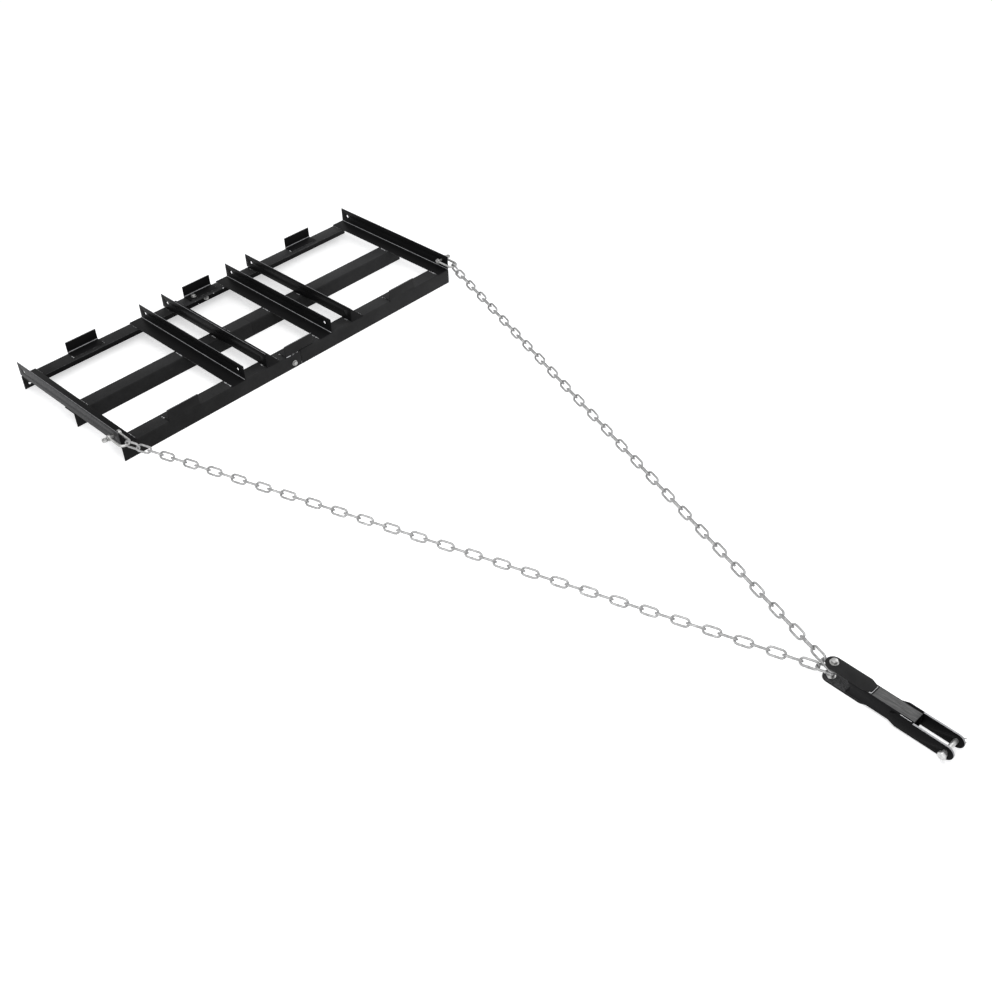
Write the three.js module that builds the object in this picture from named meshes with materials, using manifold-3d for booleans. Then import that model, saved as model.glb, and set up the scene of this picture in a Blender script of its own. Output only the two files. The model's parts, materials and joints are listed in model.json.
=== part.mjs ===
// Tow-behind drag harrow: an angle-iron scraper frame in two halves, towed by two galvanised chains
// that meet on a fabricated drawbar bracket. Millimetres, +Z up, +Y the towing direction, +X to the
// right as seen from behind. The origin lies on the ground, under the middle of the whole length and width.
import * as THREE from 'three';
import { mergeVertices } from 'three/addons/utils/BufferGeometryUtils.js';
import Module from 'manifold-3d';

const wasm = await Module();
wasm.setup();

// Frame
const FRAME_WIDTH = 1676.4;
const FRAME_DEPTH = 685.8;
const ANGLE_LEG = 63.5;
const ANGLE_WALL = 3.2;
const ANGLE_BEND_RADIUS = 6;
const CENTRE_SEAM = 2.4;
const SEAT_GAP = 0.3;

// Cross bars: outer faces of the inner pairs, measured from the middle
const INNER_PAIR_NEAR = 167.8;
const INNER_PAIR_FAR = 273.8;
const BAR_HOLE_DIAMETER = 12.7;
const BAR_HOLE_INSET = 38.1;
const BAR_HOLE_HEIGHT = 35;

// Hole near the right end of the rear blade
const BLADE_HOLE_INSET = 25.4;
const BLADE_HOLE_HEIGHT = 19;

// Weight tabs
const TAB_LENGTH = 138;
const TAB_HEIGHT = 49.5;
const TAB_BASE = 50.8;
const TAB_WALL = 4.8;
const TAB_BEND_RADIUS = 8;
const TAB_OUTER_PLACE = 560.5;
const TAB_CENTRE_SHIFT = 5;

// Splice angles and their bolts
const SPLICE_LENGTH = 120;
const SPLICE_LEG = 50;
const SPLICE_WALL = 4.8;
const SPLICE_BOLT_OFFSET = 36;
const SPLICE_BLADE_BOLT_HEIGHT = 22;
const SPLICE_FLANGE_BOLT_INSET = 32;
const BOLT_DIAMETER = 10;
const BOLT_HEAD_FLATS = 16;
const BOLT_HEAD_HEIGHT = 6.4;
const BOLT_WASHER_DIAMETER = 23;
const BOLT_WASHER_HEIGHT = 2;
const BOLT_NUT_HEIGHT = 8;
const BOLT_END = 3;
const BOLT_HOLE_CLEARANCE = 0.4;

// Shackles
const SHACKLE_WIRE = 10;
const SHACKLE_SPREAD = 42;
const SHACKLE_REACH = 58.5;
const SHACKLE_EAR_DIAMETER = 24;
const SHACKLE_PIN_DIAMETER = 12;
const SHACKLE_PIN_END = 3;
const SHACKLE_COLLAR_DIAMETER = 18;
const SHACKLE_COLLAR_LENGTH = 4;
const SHACKLE_EYE_DIAMETER = 22;
const SHACKLE_EYE_THICKNESS = 7;
const SHACKLE_EYE_HOLE = 8;

// Chains
const LINK_WIRE = 7.9;
const LINK_INNER_LENGTH = 49.5;
const LINK_OUTER_WIDTH = 33;
const LINK_COUNT = 51;
const RUN_COUNT = 8;
const LINK_BITE = 0.5;
const RUN_GAP = 0.4;
const BOW_GAP = 0.95;
const PIVOT_GAP = 0.9;
const STACK_GAP = 1.6;
const OPEN_PIVOT_GAP = 2.2;
const TWIST_LINKS_START = 2;
const TWIST_LINKS_END = 2;
const LIE_ANGLE = -Math.PI / 4;

// Drawbar bracket
const BRACKET_OFFSET = 38.4;
const BRACKET_YAW = 3.67 * Math.PI / 180;
const TUBE_SIDE = 50.8;
const TUBE_WALL = 4.8;
const TUBE_REAR = 62;
const TUBE_FRONT = 281.5;
const TUBE_NOTCH_DEPTH = 15;
const PLATE_THICKNESS = 6.35;
const PLATE_WIDTH = 50.8;
const CLEVIS_PLATE_END = 138;
const PLATE_CHAMFER_LENGTH = 24;
const PLATE_CHAMFER_WIDTH = 10;
const SIDE_PLATE_REAR = 210;
const HITCH_PIN_PLACE = 388.8;
const CLEVIS_BOLT_DIAMETER = 12.7;
const CLEVIS_BOLT_FLATS = 19;
const CLEVIS_BOLT_HEAD = 8;
const CLEVIS_WASHER_DIAMETER = 28;
const CLEVIS_WASHER_HEIGHT = 2.6;
const CLEVIS_NUT_HEIGHT = 11;
const CLEVIS_HOLE_CLEARANCE = 0.4;
const HITCH_PIN_DIAMETER = 15.9;
const HITCH_PIN_HEAD_FLATS = 24;
const HITCH_PIN_HEAD_LENGTH = 10.7;
const HITCH_PIN_PLAY = 9.6;
const HITCH_PIN_CHAMFER = 1.5;
const HITCH_PIN_TAIL = 14;
const CLIP_WIRE = 3;
const CLIP_LEG = 24;
const CLIP_LOOP = 11;
const CLIP_FLARE = 5;
const CLIP_BACK = 26;

// Mesh fineness and cutting
const OVERRUN = 5;
const BEND_STEPS = 3;
const HOLE_SIDES = 16;
const ROUND_SIDES = 24;
const BOW_SIDES = 8;
const BOW_STEPS = 10;
const LINK_SIDES = 5;
const CROWN_STEPS = 4;
const CLIP_SIDES = 6;
const CLIP_STEPS = 28;

// Levels and places that follow from the sizes
const halfWidth = FRAME_WIDTH / 2;
const barSeat = ANGLE_LEG + SEAT_GAP;
const midBladeFace = FRAME_DEPTH / 2 + ANGLE_LEG / 2;
const pinY = FRAME_DEPTH - BAR_HOLE_INSET;
const pinZ = barSeat + BAR_HOLE_HEIGHT;
const pinX = halfWidth - ANGLE_WALL / 2;
const tubeBottom = PLATE_THICKNESS + SEAT_GAP;
const tubeTop = tubeBottom + TUBE_SIDE;
const bracketMid = tubeBottom + TUBE_SIDE / 2;

const paint = { color: 0x1d1d1e, roughness: 0.5, metalness: 0.3 };
const greySteel = { color: 0x58595a, roughness: 0.55, metalness: 0.4 };
const zinc = { color: 0xa8aaab, roughness: 0.4, metalness: 0.85 };

const harrow = new THREE.Group();
const drag = new THREE.Group();
harrow.add(drag);

// A closed geometry as a manifold solid
function solidOf(geometry) {
  const bare = geometry.clone();
  bare.deleteAttribute('normal');
  bare.deleteAttribute('uv');
  const merged = mergeVertices(bare, 1e-4);
  return new wasm.Manifold(new wasm.Mesh({
    numProp: 3,
    vertProperties: new Float32Array(merged.attributes.position.array),
    triVerts: new Uint32Array(merged.index.array),
  }));
}

function geometryOf(solid) {
  const mesh = solid.getMesh();
  const geometry = new THREE.BufferGeometry();
  geometry.setAttribute('position', new THREE.BufferAttribute(new Float32Array(mesh.vertProperties), 3));
  geometry.setIndex(new THREE.BufferAttribute(new Uint32Array(mesh.triVerts), 1));
  geometry.computeVertexNormals();
  return geometry;
}

function joined(geometries) {
  return geometryOf(geometries.map(solidOf).reduce((whole, next) => whole.add(next)));
}

function cut(geometry, cutters) {
  return geometryOf(cutters.map(solidOf).reduce((rest, cutter) => rest.subtract(cutter), solidOf(geometry)));
}

function addPiece(parent, name, geometry, finish) {
  const mesh = new THREE.Mesh(geometry, new THREE.MeshStandardMaterial(finish));
  mesh.name = name;
  parent.add(mesh);
  return mesh;
}

// A round bar with its middle at the given point, along X, Y or Z
function rod(diameter, length, axis, x, y, z, sides = HOLE_SIDES) {
  const geometry = new THREE.CylinderGeometry(diameter / 2, diameter / 2, length, sides);
  if (axis === 'x') geometry.rotateZ(Math.PI / 2);
  if (axis === 'z') geometry.rotateX(Math.PI / 2);
  geometry.translate(x, y, z);
  return geometry;
}

// Section of a bent angle: one leg along +u, one leg down along -v, outer corner at the origin
function angleSection(legAcross, legDown, wall, bendRadius) {
  const inner = bendRadius - wall;
  const shape = new THREE.Shape();
  shape.moveTo(0, -legDown);
  shape.lineTo(0, -bendRadius);
  shape.absarc(bendRadius, -bendRadius, bendRadius, Math.PI, Math.PI / 2, true);
  shape.lineTo(legAcross, 0);
  shape.lineTo(legAcross, -wall);
  shape.lineTo(bendRadius, -wall);
  shape.absarc(bendRadius, -bendRadius, inner, Math.PI / 2, Math.PI, false);
  shape.lineTo(wall, -legDown);
  shape.closePath();
  return shape;
}

function extruded(shape, length) {
  return new THREE.ExtrudeGeometry(shape, { depth: length, bevelEnabled: false, curveSegments: BEND_STEPS });
}

// Turns a mirrored geometry's faces the right way out again
function mirrored(geometry, x, y, z) {
  geometry.scale(x, y, z);
  const flat = geometry.index ? geometry.toNonIndexed() : geometry;
  const places = flat.attributes.position;
  for (let i = 0; i < places.count; i += 3) {
    const a = new THREE.Vector3().fromBufferAttribute(places, i + 1);
    const b = new THREE.Vector3().fromBufferAttribute(places, i + 2);
    places.setXYZ(i + 1, b.x, b.y, b.z);
    places.setXYZ(i + 2, a.x, a.y, a.z);
  }
  flat.computeVertexNormals();
  return flat;
}

// An angle lying along +X from x = 0: flange on top reaching forward from its back face, blade hanging down
function angleAlongX(legFlange, legBlade, wall, bendRadius, length) {
  const geometry = extruded(angleSection(legFlange, legBlade, wall, bendRadius), length);
  // section u to +Y, section v to +Z, extrusion to +X
  geometry.applyMatrix4(new THREE.Matrix4().makeBasis(
    new THREE.Vector3(0, 1, 0), new THREE.Vector3(0, 0, 1), new THREE.Vector3(1, 0, 0)));
  return geometry;
}

// Rails
const rails = [
  { name: 'rear', face: 0, forward: 1 },
  { name: 'middle', face: midBladeFace, forward: -1 },
  { name: 'front', face: FRAME_DEPTH, forward: -1 },
];
const sides = [{ name: 'right', sign: 1 }, { name: 'left', sign: -1 }];
const spliceHole = BOLT_DIAMETER + 2 * BOLT_HOLE_CLEARANCE;

// The bolt through the blade sits on one half and the bolt through the flange on the other
const splices = [
  { name: 'rear', face: 0, forward: 1, bladeSide: -1 },
  { name: 'front', face: FRAME_DEPTH, forward: -1, bladeSide: 1 },
];

function bladeHole(x, face, z, diameter) {
  return rod(diameter, 2 * ANGLE_LEG, 'y', x, face, z);
}

function flangeHole(x, y, diameter) {
  return rod(diameter, 2 * ANGLE_LEG, 'z', x, y, ANGLE_LEG);
}

function spliceHoles(splice) {
  const flangeY = splice.face + splice.forward * SPLICE_FLANGE_BOLT_INSET;
  return {
    blade: bladeHole(splice.bladeSide * SPLICE_BOLT_OFFSET, splice.face, SPLICE_BLADE_BOLT_HEIGHT, spliceHole),
    flange: flangeHole(-splice.bladeSide * SPLICE_BOLT_OFFSET, flangeY, spliceHole),
  };
}

function rail(spec, side) {
  const length = halfWidth - CENTRE_SEAM / 2;
  let geometry = angleAlongX(ANGLE_LEG, ANGLE_LEG, ANGLE_WALL, ANGLE_BEND_RADIUS, length);
  geometry.translate(CENTRE_SEAM / 2, 0, ANGLE_LEG);
  if (spec.forward < 0 !== side.sign < 0) geometry = mirrored(geometry, side.sign, spec.forward, 1);
  else if (side.sign < 0) geometry.scale(side.sign, spec.forward, 1);
  geometry.translate(0, spec.face, 0);
  const cutters = [];
  if (spec.name === 'rear' && side.name === 'right') {
    cutters.push(bladeHole(halfWidth - BLADE_HOLE_INSET, 0, BLADE_HOLE_HEIGHT, BAR_HOLE_DIAMETER));
  }
  for (const splice of splices.filter((one) => one.name === spec.name)) {
    const holes = spliceHoles(splice);
    cutters.push(splice.bladeSide === side.sign ? holes.blade : holes.flange);
  }
  return cutters.length ? cut(geometry, cutters) : geometryOf(solidOf(geometry));
}

for (const spec of rails) {
  for (const side of sides) addPiece(drag, `${spec.name}_rail_${side.name}`, rail(spec, side), paint);
}

// Cross bars lie on the rails, each with a standing flange and a flat one
const bars = [
  { name: 'outer_bar_right', x: halfWidth, flat: -1 },
  { name: 'pair_far_bar_right', x: INNER_PAIR_FAR, flat: 1 },
  { name: 'pair_near_bar_right', x: INNER_PAIR_NEAR, flat: -1 },
  { name: 'pair_near_bar_left', x: -INNER_PAIR_NEAR, flat: 1 },
  { name: 'pair_far_bar_left', x: -INNER_PAIR_FAR, flat: -1 },
  { name: 'outer_bar_left', x: -halfWidth, flat: 1 },
];

function crossBar(bar) {
  let geometry = extruded(angleSection(ANGLE_LEG, ANGLE_LEG, ANGLE_WALL, ANGLE_BEND_RADIUS), FRAME_DEPTH);
  // section u to +X, section v to -Z, extrusion to +Y: flat leg at the bottom, standing leg upwards
  geometry.applyMatrix4(new THREE.Matrix4().makeBasis(
    new THREE.Vector3(1, 0, 0), new THREE.Vector3(0, 0, -1), new THREE.Vector3(0, 1, 0)));
  if (bar.flat < 0) geometry = mirrored(geometry, -1, 1, 1);
  geometry.translate(bar.x, 0, barSeat);
  const holes = [BAR_HOLE_INSET, FRAME_DEPTH - BAR_HOLE_INSET].map(
    (y) => rod(BAR_HOLE_DIAMETER, 2 * ANGLE_LEG, 'x', bar.x, y, pinZ));
  return cut(geometry, holes);
}

for (const bar of bars) addPiece(drag, bar.name, crossBar(bar), paint);

// Weight tabs stand on the rails, their plates over the blades
const tabs = [];
for (const end of [{ name: 'rear', face: 0, forward: 1 }, { name: 'front', face: FRAME_DEPTH, forward: -1 }]) {
  tabs.push({ ...end, place: 'right', x: TAB_OUTER_PLACE });
  tabs.push({ ...end, place: 'centre', x: -end.forward * TAB_CENTRE_SHIFT });
  tabs.push({ ...end, place: 'left', x: -TAB_OUTER_PLACE });
}

function tab(spec) {
  let geometry = angleAlongX(TAB_BASE, TAB_HEIGHT, TAB_WALL, TAB_BEND_RADIUS, TAB_LENGTH);
  geometry = mirrored(geometry, 1, 1, -1);
  if (spec.forward < 0) geometry = mirrored(geometry, 1, -1, 1);
  geometry.translate(spec.x - TAB_LENGTH / 2, spec.face, barSeat);
  if (spec.place !== 'centre') return geometryOf(solidOf(geometry));
  return cut(geometry, [spliceHoles(splices.find((one) => one.name === spec.name)).flange]);
}

for (const spec of tabs) addPiece(drag, `${spec.name}_weight_tab_${spec.place}`, tab(spec), paint);

// Splice angles nest inside the rails across the centre seam
function spliceAngle(splice) {
  let geometry = angleAlongX(SPLICE_LEG, SPLICE_LEG, SPLICE_WALL, ANGLE_BEND_RADIUS, SPLICE_LENGTH);
  if (splice.forward < 0) geometry = mirrored(geometry, 1, -1, 1);
  const inset = ANGLE_WALL + SEAT_GAP;
  geometry.translate(-SPLICE_LENGTH / 2, splice.face + splice.forward * inset, ANGLE_LEG - inset);
  const holes = spliceHoles(splice);
  return cut(geometry, [holes.blade, holes.flange]);
}

// Bolt along +Z: the washer seats at z = 0 with the head above it and the shank below
function hexBolt(diameter, flats, head, washerDiameter, washerHeight, shank) {
  const hex = rod(flats / Math.cos(Math.PI / 6), head, 'z', 0, 0, washerHeight + head / 2, 6);
  const washer = rod(washerDiameter, washerHeight, 'z', 0, 0, washerHeight / 2, ROUND_SIDES);
  const shaft = rod(diameter, shank + washerHeight, 'z', 0, 0, (washerHeight - shank) / 2);
  return joined([hex, washer, shaft]);
}

// Nut along +Z with its washer at z = 0, open round the shank
function hexNut(diameter, flats, height, washerDiameter, washerHeight) {
  const hex = rod(flats / Math.cos(Math.PI / 6), height, 'z', 0, 0, washerHeight + height / 2, 6);
  const washer = rod(washerDiameter, washerHeight, 'z', 0, 0, washerHeight / 2, ROUND_SIDES);
  const bore = rod(diameter + 2 * SEAT_GAP, 2 * (height + washerHeight) + OVERRUN, 'z', 0, 0, 0);
  return cut(joined([hex, washer]), [bore]);
}

const spliceGrip = 2 * SEAT_GAP + ANGLE_WALL + SPLICE_WALL;
const tabGrip = spliceGrip + TAB_WALL + SEAT_GAP;

function spliceBolt(grip) {
  const shank = grip + SEAT_GAP + BOLT_WASHER_HEIGHT + BOLT_NUT_HEIGHT + BOLT_END;
  return hexBolt(BOLT_DIAMETER, BOLT_HEAD_FLATS, BOLT_HEAD_HEIGHT, BOLT_WASHER_DIAMETER, BOLT_WASHER_HEIGHT, shank);
}

function spliceNut() {
  return hexNut(BOLT_DIAMETER, BOLT_HEAD_FLATS, BOLT_NUT_HEIGHT, BOLT_WASHER_DIAMETER, BOLT_WASHER_HEIGHT);
}

for (const splice of splices) {
  addPiece(drag, `${splice.name}_splice_angle`, spliceAngle(splice), paint);
  const bladeX = splice.bladeSide * SPLICE_BOLT_OFFSET;
  const outward = -splice.forward;
  const bladeBolt = addPiece(drag, `${splice.name}_blade_bolt`, spliceBolt(spliceGrip), zinc);
  bladeBolt.position.set(bladeX, splice.face + outward * SEAT_GAP, SPLICE_BLADE_BOLT_HEIGHT);
  bladeBolt.rotation.x = -outward * Math.PI / 2;
  const bladeNut = addPiece(drag, `${splice.name}_blade_nut`, spliceNut(), zinc);
  bladeNut.position.set(bladeX, splice.face - outward * spliceGrip, SPLICE_BLADE_BOLT_HEIGHT);
  bladeNut.rotation.x = outward * Math.PI / 2;
  const flangeY = splice.face + splice.forward * SPLICE_FLANGE_BOLT_INSET;
  const flangeBolt = addPiece(drag, `${splice.name}_flange_bolt`, spliceBolt(tabGrip), zinc);
  flangeBolt.position.set(-bladeX, flangeY, barSeat + TAB_WALL + SEAT_GAP);
  const flangeNut = addPiece(drag, `${splice.name}_flange_nut`, spliceNut(), zinc);
  flangeNut.position.set(-bladeX, flangeY, ANGLE_LEG - spliceGrip);
  flangeNut.rotation.x = Math.PI;
}

// Rings of points joined into a tube: closed on itself, or capped at both ends
function sweep(rings, closed) {
  const count = rings.length;
  const sideCount = rings[0].length;
  const places = rings.flat().flatMap((point) => [point.x, point.y, point.z]);
  const faces = [];
  for (let i = 0; i < (closed ? count : count - 1); i += 1) {
    const next = (i + 1) % count;
    for (let j = 0; j < sideCount; j += 1) {
      const k = (j + 1) % sideCount;
      const [a, b, c, d] = [i * sideCount + j, i * sideCount + k, next * sideCount + k, next * sideCount + j];
      faces.push(a, b, c, a, c, d);
    }
  }
  for (let j = 1; !closed && j < sideCount - 1; j += 1) {
    const last = (count - 1) * sideCount;
    faces.push(0, j + 1, j, last, last + j, last + j + 1);
  }
  const geometry = new THREE.BufferGeometry();
  geometry.setAttribute('position', new THREE.Float32BufferAttribute(places, 3));
  geometry.setIndex(faces);
  return geometry;
}

// Rings round a flat path in the XY plane: each stop has a place and the outward direction there
function flatRings(stops, radius, sideCount) {
  return stops.map(({ x, y, outX, outY }) => Array.from({ length: sideCount }, (unused, j) => {
    const turn = Math.PI + 2 * Math.PI * j / sideCount;
    const out = radius * Math.cos(turn);
    return new THREE.Vector3(x + out * outX, y + out * outY, -radius * Math.sin(turn));
  }));
}

// Half circle of stops round (0, y), from +X over +Y to -X, or the other way round at the far end
function crown(y, radius, towards, steps) {
  return Array.from({ length: steps + 1 }, (unused, i) => {
    const turn = Math.PI * i / steps;
    const outX = towards * Math.cos(turn);
    const outY = towards * Math.sin(turn);
    return { x: radius * outX, y: y + radius * outY, outX, outY };
  });
}

// Chain link about its own middle, long way along Y, lying in the XY plane
function linkGeometry() {
  const radius = (LINK_OUTER_WIDTH - LINK_WIRE) / 2;
  const straight = LINK_INNER_LENGTH / 2 + LINK_WIRE / 2 - radius;
  const stops = [...crown(straight, radius, 1, CROWN_STEPS), ...crown(-straight, radius, -1, CROWN_STEPS)];
  return sweep(flatRings(stops, LINK_WIRE / 2, LINK_SIDES), true);
}

// Shackle: bow with two ears about the pin, crown towards +Y
function shackleBow() {
  const radius = SHACKLE_SPREAD / 2;
  const stops = [
    { x: radius, y: 0, outX: 1, outY: 0 },
    ...crown(SHACKLE_REACH, radius, 1, BOW_STEPS),
    { x: -radius, y: 0, outX: -1, outY: 0 },
  ];
  const bow = sweep(flatRings(stops, SHACKLE_WIRE / 2, BOW_SIDES), false);
  const ears = [radius, -radius].map(
    (x) => rod(SHACKLE_EAR_DIAMETER, SHACKLE_WIRE, 'x', x, 0, 0, ROUND_SIDES));
  const bore = rod(SHACKLE_PIN_DIAMETER + 2 * SEAT_GAP, 2 * SHACKLE_SPREAD, 'x', 0, 0, 0);
  return cut(joined([bow, ...ears]), [bore]);
}

// Screw pin along X, its eye towards +X when outward is 1
function shacklePin(outward) {
  const earFace = SHACKLE_SPREAD / 2 + SHACKLE_WIRE / 2;
  const collarStart = earFace + SEAT_GAP;
  const shaftEnd = collarStart + SHACKLE_COLLAR_LENGTH / 2;
  const shaftLength = earFace + SHACKLE_PIN_END + shaftEnd;
  const shaft = rod(SHACKLE_PIN_DIAMETER, shaftLength, 'x',
    outward * (shaftEnd - shaftLength / 2), 0, 0);
  const collar = rod(SHACKLE_COLLAR_DIAMETER, SHACKLE_COLLAR_LENGTH, 'x',
    outward * (collarStart + SHACKLE_COLLAR_LENGTH / 2), 0, 0, ROUND_SIDES);
  const eyeX = outward * (collarStart + SHACKLE_COLLAR_LENGTH / 2 + SHACKLE_EYE_DIAMETER / 2);
  const eye = rod(SHACKLE_EYE_DIAMETER, SHACKLE_EYE_THICKNESS, 'z', eyeX, 0, 0, ROUND_SIDES);
  const eyeHole = rod(SHACKLE_EYE_HOLE, 2 * SHACKLE_EYE_THICKNESS, 'z', eyeX, 0, 0);
  return cut(joined([shaft, collar, eye]), [eyeHole]);
}

// Reach of the right chain from the middle of the bow's crown to the clevis bolt, all links pulled tight
const crownInner = SHACKLE_SPREAD / 2 - SHACKLE_WIRE / 2;
const boltRadius = CLEVIS_BOLT_DIAMETER / 2;
const fusedSteps = LINK_COUNT - RUN_COUNT;
const looseSteps = RUN_COUNT - 1;
const looseReach = crownInner - BOW_GAP + looseSteps * (LINK_INNER_LENGTH - RUN_GAP) + LINK_INNER_LENGTH - boltRadius;
const rightReach = looseReach - PIVOT_GAP + fusedSteps * (LINK_INNER_LENGTH + LINK_BITE);

// The right chain sets how far ahead the bracket lies; the left chain then takes up its own distance
const stackStep = (LINK_WIRE + STACK_GAP) / 2;
const rightAcross = pinX - BRACKET_OFFSET;
const rightAlong = SHACKLE_REACH + Math.sqrt(rightReach ** 2 - rightAcross ** 2);
const rightDrop = bracketMid - pinZ;
const boltY = pinY + Math.sqrt(rightAlong ** 2 - rightDrop ** 2);

function chainLine(side) {
  const drop = bracketMid - pinZ;
  const across = BRACKET_OFFSET - side.sign * pinX;
  const along = Math.hypot(boltY - pinY, drop);
  const reach = Math.hypot(along - SHACKLE_REACH, across);
  const bowPitch = Math.asin(drop / along);
  const bite = side.sign > 0
    ? LINK_BITE
    : (reach + OPEN_PIVOT_GAP - looseReach) / fusedSteps - LINK_INNER_LENGTH;
  const start = new THREE.Vector3(side.sign * pinX,
    pinY + SHACKLE_REACH * Math.cos(bowPitch), pinZ + SHACKLE_REACH * Math.sin(bowPitch));
  const level = Math.hypot((along - SHACKLE_REACH) * Math.cos(bowPitch), across);
  const yaw = Math.atan2(-across, (along - SHACKLE_REACH) * Math.cos(bowPitch));
  const pitch = Math.atan2((along - SHACKLE_REACH) * Math.sin(bowPitch), level);
  return { start, yaw, pitch, bowPitch, bite, reach };
}

const runStart = (run) => Math.floor(run * LINK_COUNT / RUN_COUNT);

// Distance of each link's middle from the crown's middle
function linkPlaces(bite) {
  const places = [crownInner - BOW_GAP + LINK_INNER_LENGTH / 2];
  for (let run = 0; run < RUN_COUNT; run += 1) {
    for (let i = runStart(run); i < runStart(run + 1); i += 1) {
      if (i === 0) continue;
      const step = i === runStart(run) ? LINK_INNER_LENGTH - RUN_GAP : LINK_INNER_LENGTH + bite;
      places.push(places[i - 1] + step);
    }
  }
  return places;
}

// Each link's roll about the chain: upright at the shackle, at half a right angle along the ground,
// flat on the clevis bolt, with every second link a right angle further round
function linkRoll(i) {
  const fromEnd = LINK_COUNT - 1 - i;
  let lie = LIE_ANGLE;
  if (i < TWIST_LINKS_START) lie = LIE_ANGLE * i / TWIST_LINKS_START;
  if (fromEnd < TWIST_LINKS_END) lie = 2 * LIE_ANGLE - LIE_ANGLE * fromEnd / TWIST_LINKS_END;
  return Math.PI / 2 - lie + (i % 2) * Math.PI / 2;
}

for (const side of sides) {
  const line = chainLine(side);
  const shackle = new THREE.Group();
  shackle.position.set(side.sign * pinX, pinY, pinZ);
  shackle.rotation.x = line.bowPitch;
  drag.add(shackle);
  addPiece(shackle, `shackle_bow_${side.name}`, shackleBow(), zinc);
  addPiece(shackle, `shackle_pin_${side.name}`, shacklePin(side.sign), zinc);
  const chain = new THREE.Group();
  chain.position.copy(line.start);
  chain.rotation.set(line.pitch, 0, line.yaw, 'ZXY');
  drag.add(chain);
  const places = linkPlaces(line.bite);
  for (let run = 0; run < RUN_COUNT; run += 1) {
    const first = runStart(run);
    // each run turns where its first link hooks into what is behind it
    const hook = places[first] - (LINK_INNER_LENGTH - (first ? RUN_GAP : BOW_GAP)) / 2;
    const links = [];
    for (let i = first; i < runStart(run + 1); i += 1) {
      const link = linkGeometry();
      link.rotateY(linkRoll(i));
      link.translate(0, places[i] - hook, 0);
      links.push(link);
    }
    const mesh = addPiece(chain, `chain_${side.name}_run_${run + 1}`, joined(links), zinc);
    mesh.position.y = hook;
    // the last run leans down on the right and up on the left, one end link over the other on the bolt
    if (run === RUN_COUNT - 1) mesh.rotation.x = -side.sign * Math.asin(stackStep / (line.reach - hook));
  }
}

// Drawbar bracket: local +Y forward from the clevis bolt, +X to the right
const bracket = new THREE.Group();
bracket.position.set(BRACKET_OFFSET, boltY, 0);
bracket.rotation.z = -BRACKET_YAW;
drag.add(bracket);

function bracketTube() {
  const half = TUBE_SIDE / 2;
  const bore = half - TUBE_WALL;
  const section = new THREE.Shape();
  section.moveTo(-half, -half);
  section.lineTo(half, -half);
  section.lineTo(half, half);
  section.lineTo(-half, half);
  section.closePath();
  const hollow = new THREE.Path();
  hollow.moveTo(-bore, -bore);
  hollow.lineTo(-bore, bore);
  hollow.lineTo(bore, bore);
  hollow.lineTo(bore, -bore);
  hollow.closePath();
  section.holes.push(hollow);
  const geometry = extruded(section, TUBE_FRONT - TUBE_REAR);
  geometry.applyMatrix4(new THREE.Matrix4().makeBasis(
    new THREE.Vector3(0, 0, 1), new THREE.Vector3(1, 0, 0), new THREE.Vector3(0, 1, 0)));
  geometry.translate(0, TUBE_REAR, bracketMid);
  // round notch across the rear mouth, from the height of the tube and the notch's depth
  const radius = (half ** 2 + TUBE_NOTCH_DEPTH ** 2) / (2 * TUBE_NOTCH_DEPTH);
  const notch = rod(2 * radius, 2 * TUBE_SIDE, 'x', 0, TUBE_REAR + TUBE_NOTCH_DEPTH - radius, bracketMid, 2 * ROUND_SIDES);
  return cut(geometry, [notch]);
}

// Clevis plate outline in plan: round about the bolt, chamfered in front
function clevisPlate(bottom) {
  const half = PLATE_WIDTH / 2;
  const shape = new THREE.Shape();
  shape.moveTo(half, 0);
  shape.lineTo(half, CLEVIS_PLATE_END - PLATE_CHAMFER_LENGTH);
  shape.lineTo(half - PLATE_CHAMFER_WIDTH, CLEVIS_PLATE_END);
  shape.lineTo(PLATE_CHAMFER_WIDTH - half, CLEVIS_PLATE_END);
  shape.lineTo(-half, CLEVIS_PLATE_END - PLATE_CHAMFER_LENGTH);
  shape.lineTo(-half, 0);
  shape.absarc(0, 0, half, Math.PI, 2 * Math.PI, false);
  const hole = new THREE.Path();
  hole.absarc(0, 0, boltRadius + CLEVIS_HOLE_CLEARANCE, 0, 2 * Math.PI, true);
  shape.holes.push(hole);
  const geometry = new THREE.ExtrudeGeometry(shape,
    { depth: PLATE_THICKNESS, bevelEnabled: false, curveSegments: HOLE_SIDES });
  geometry.translate(0, 0, bottom);
  return geometryOf(solidOf(geometry));
}

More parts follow.
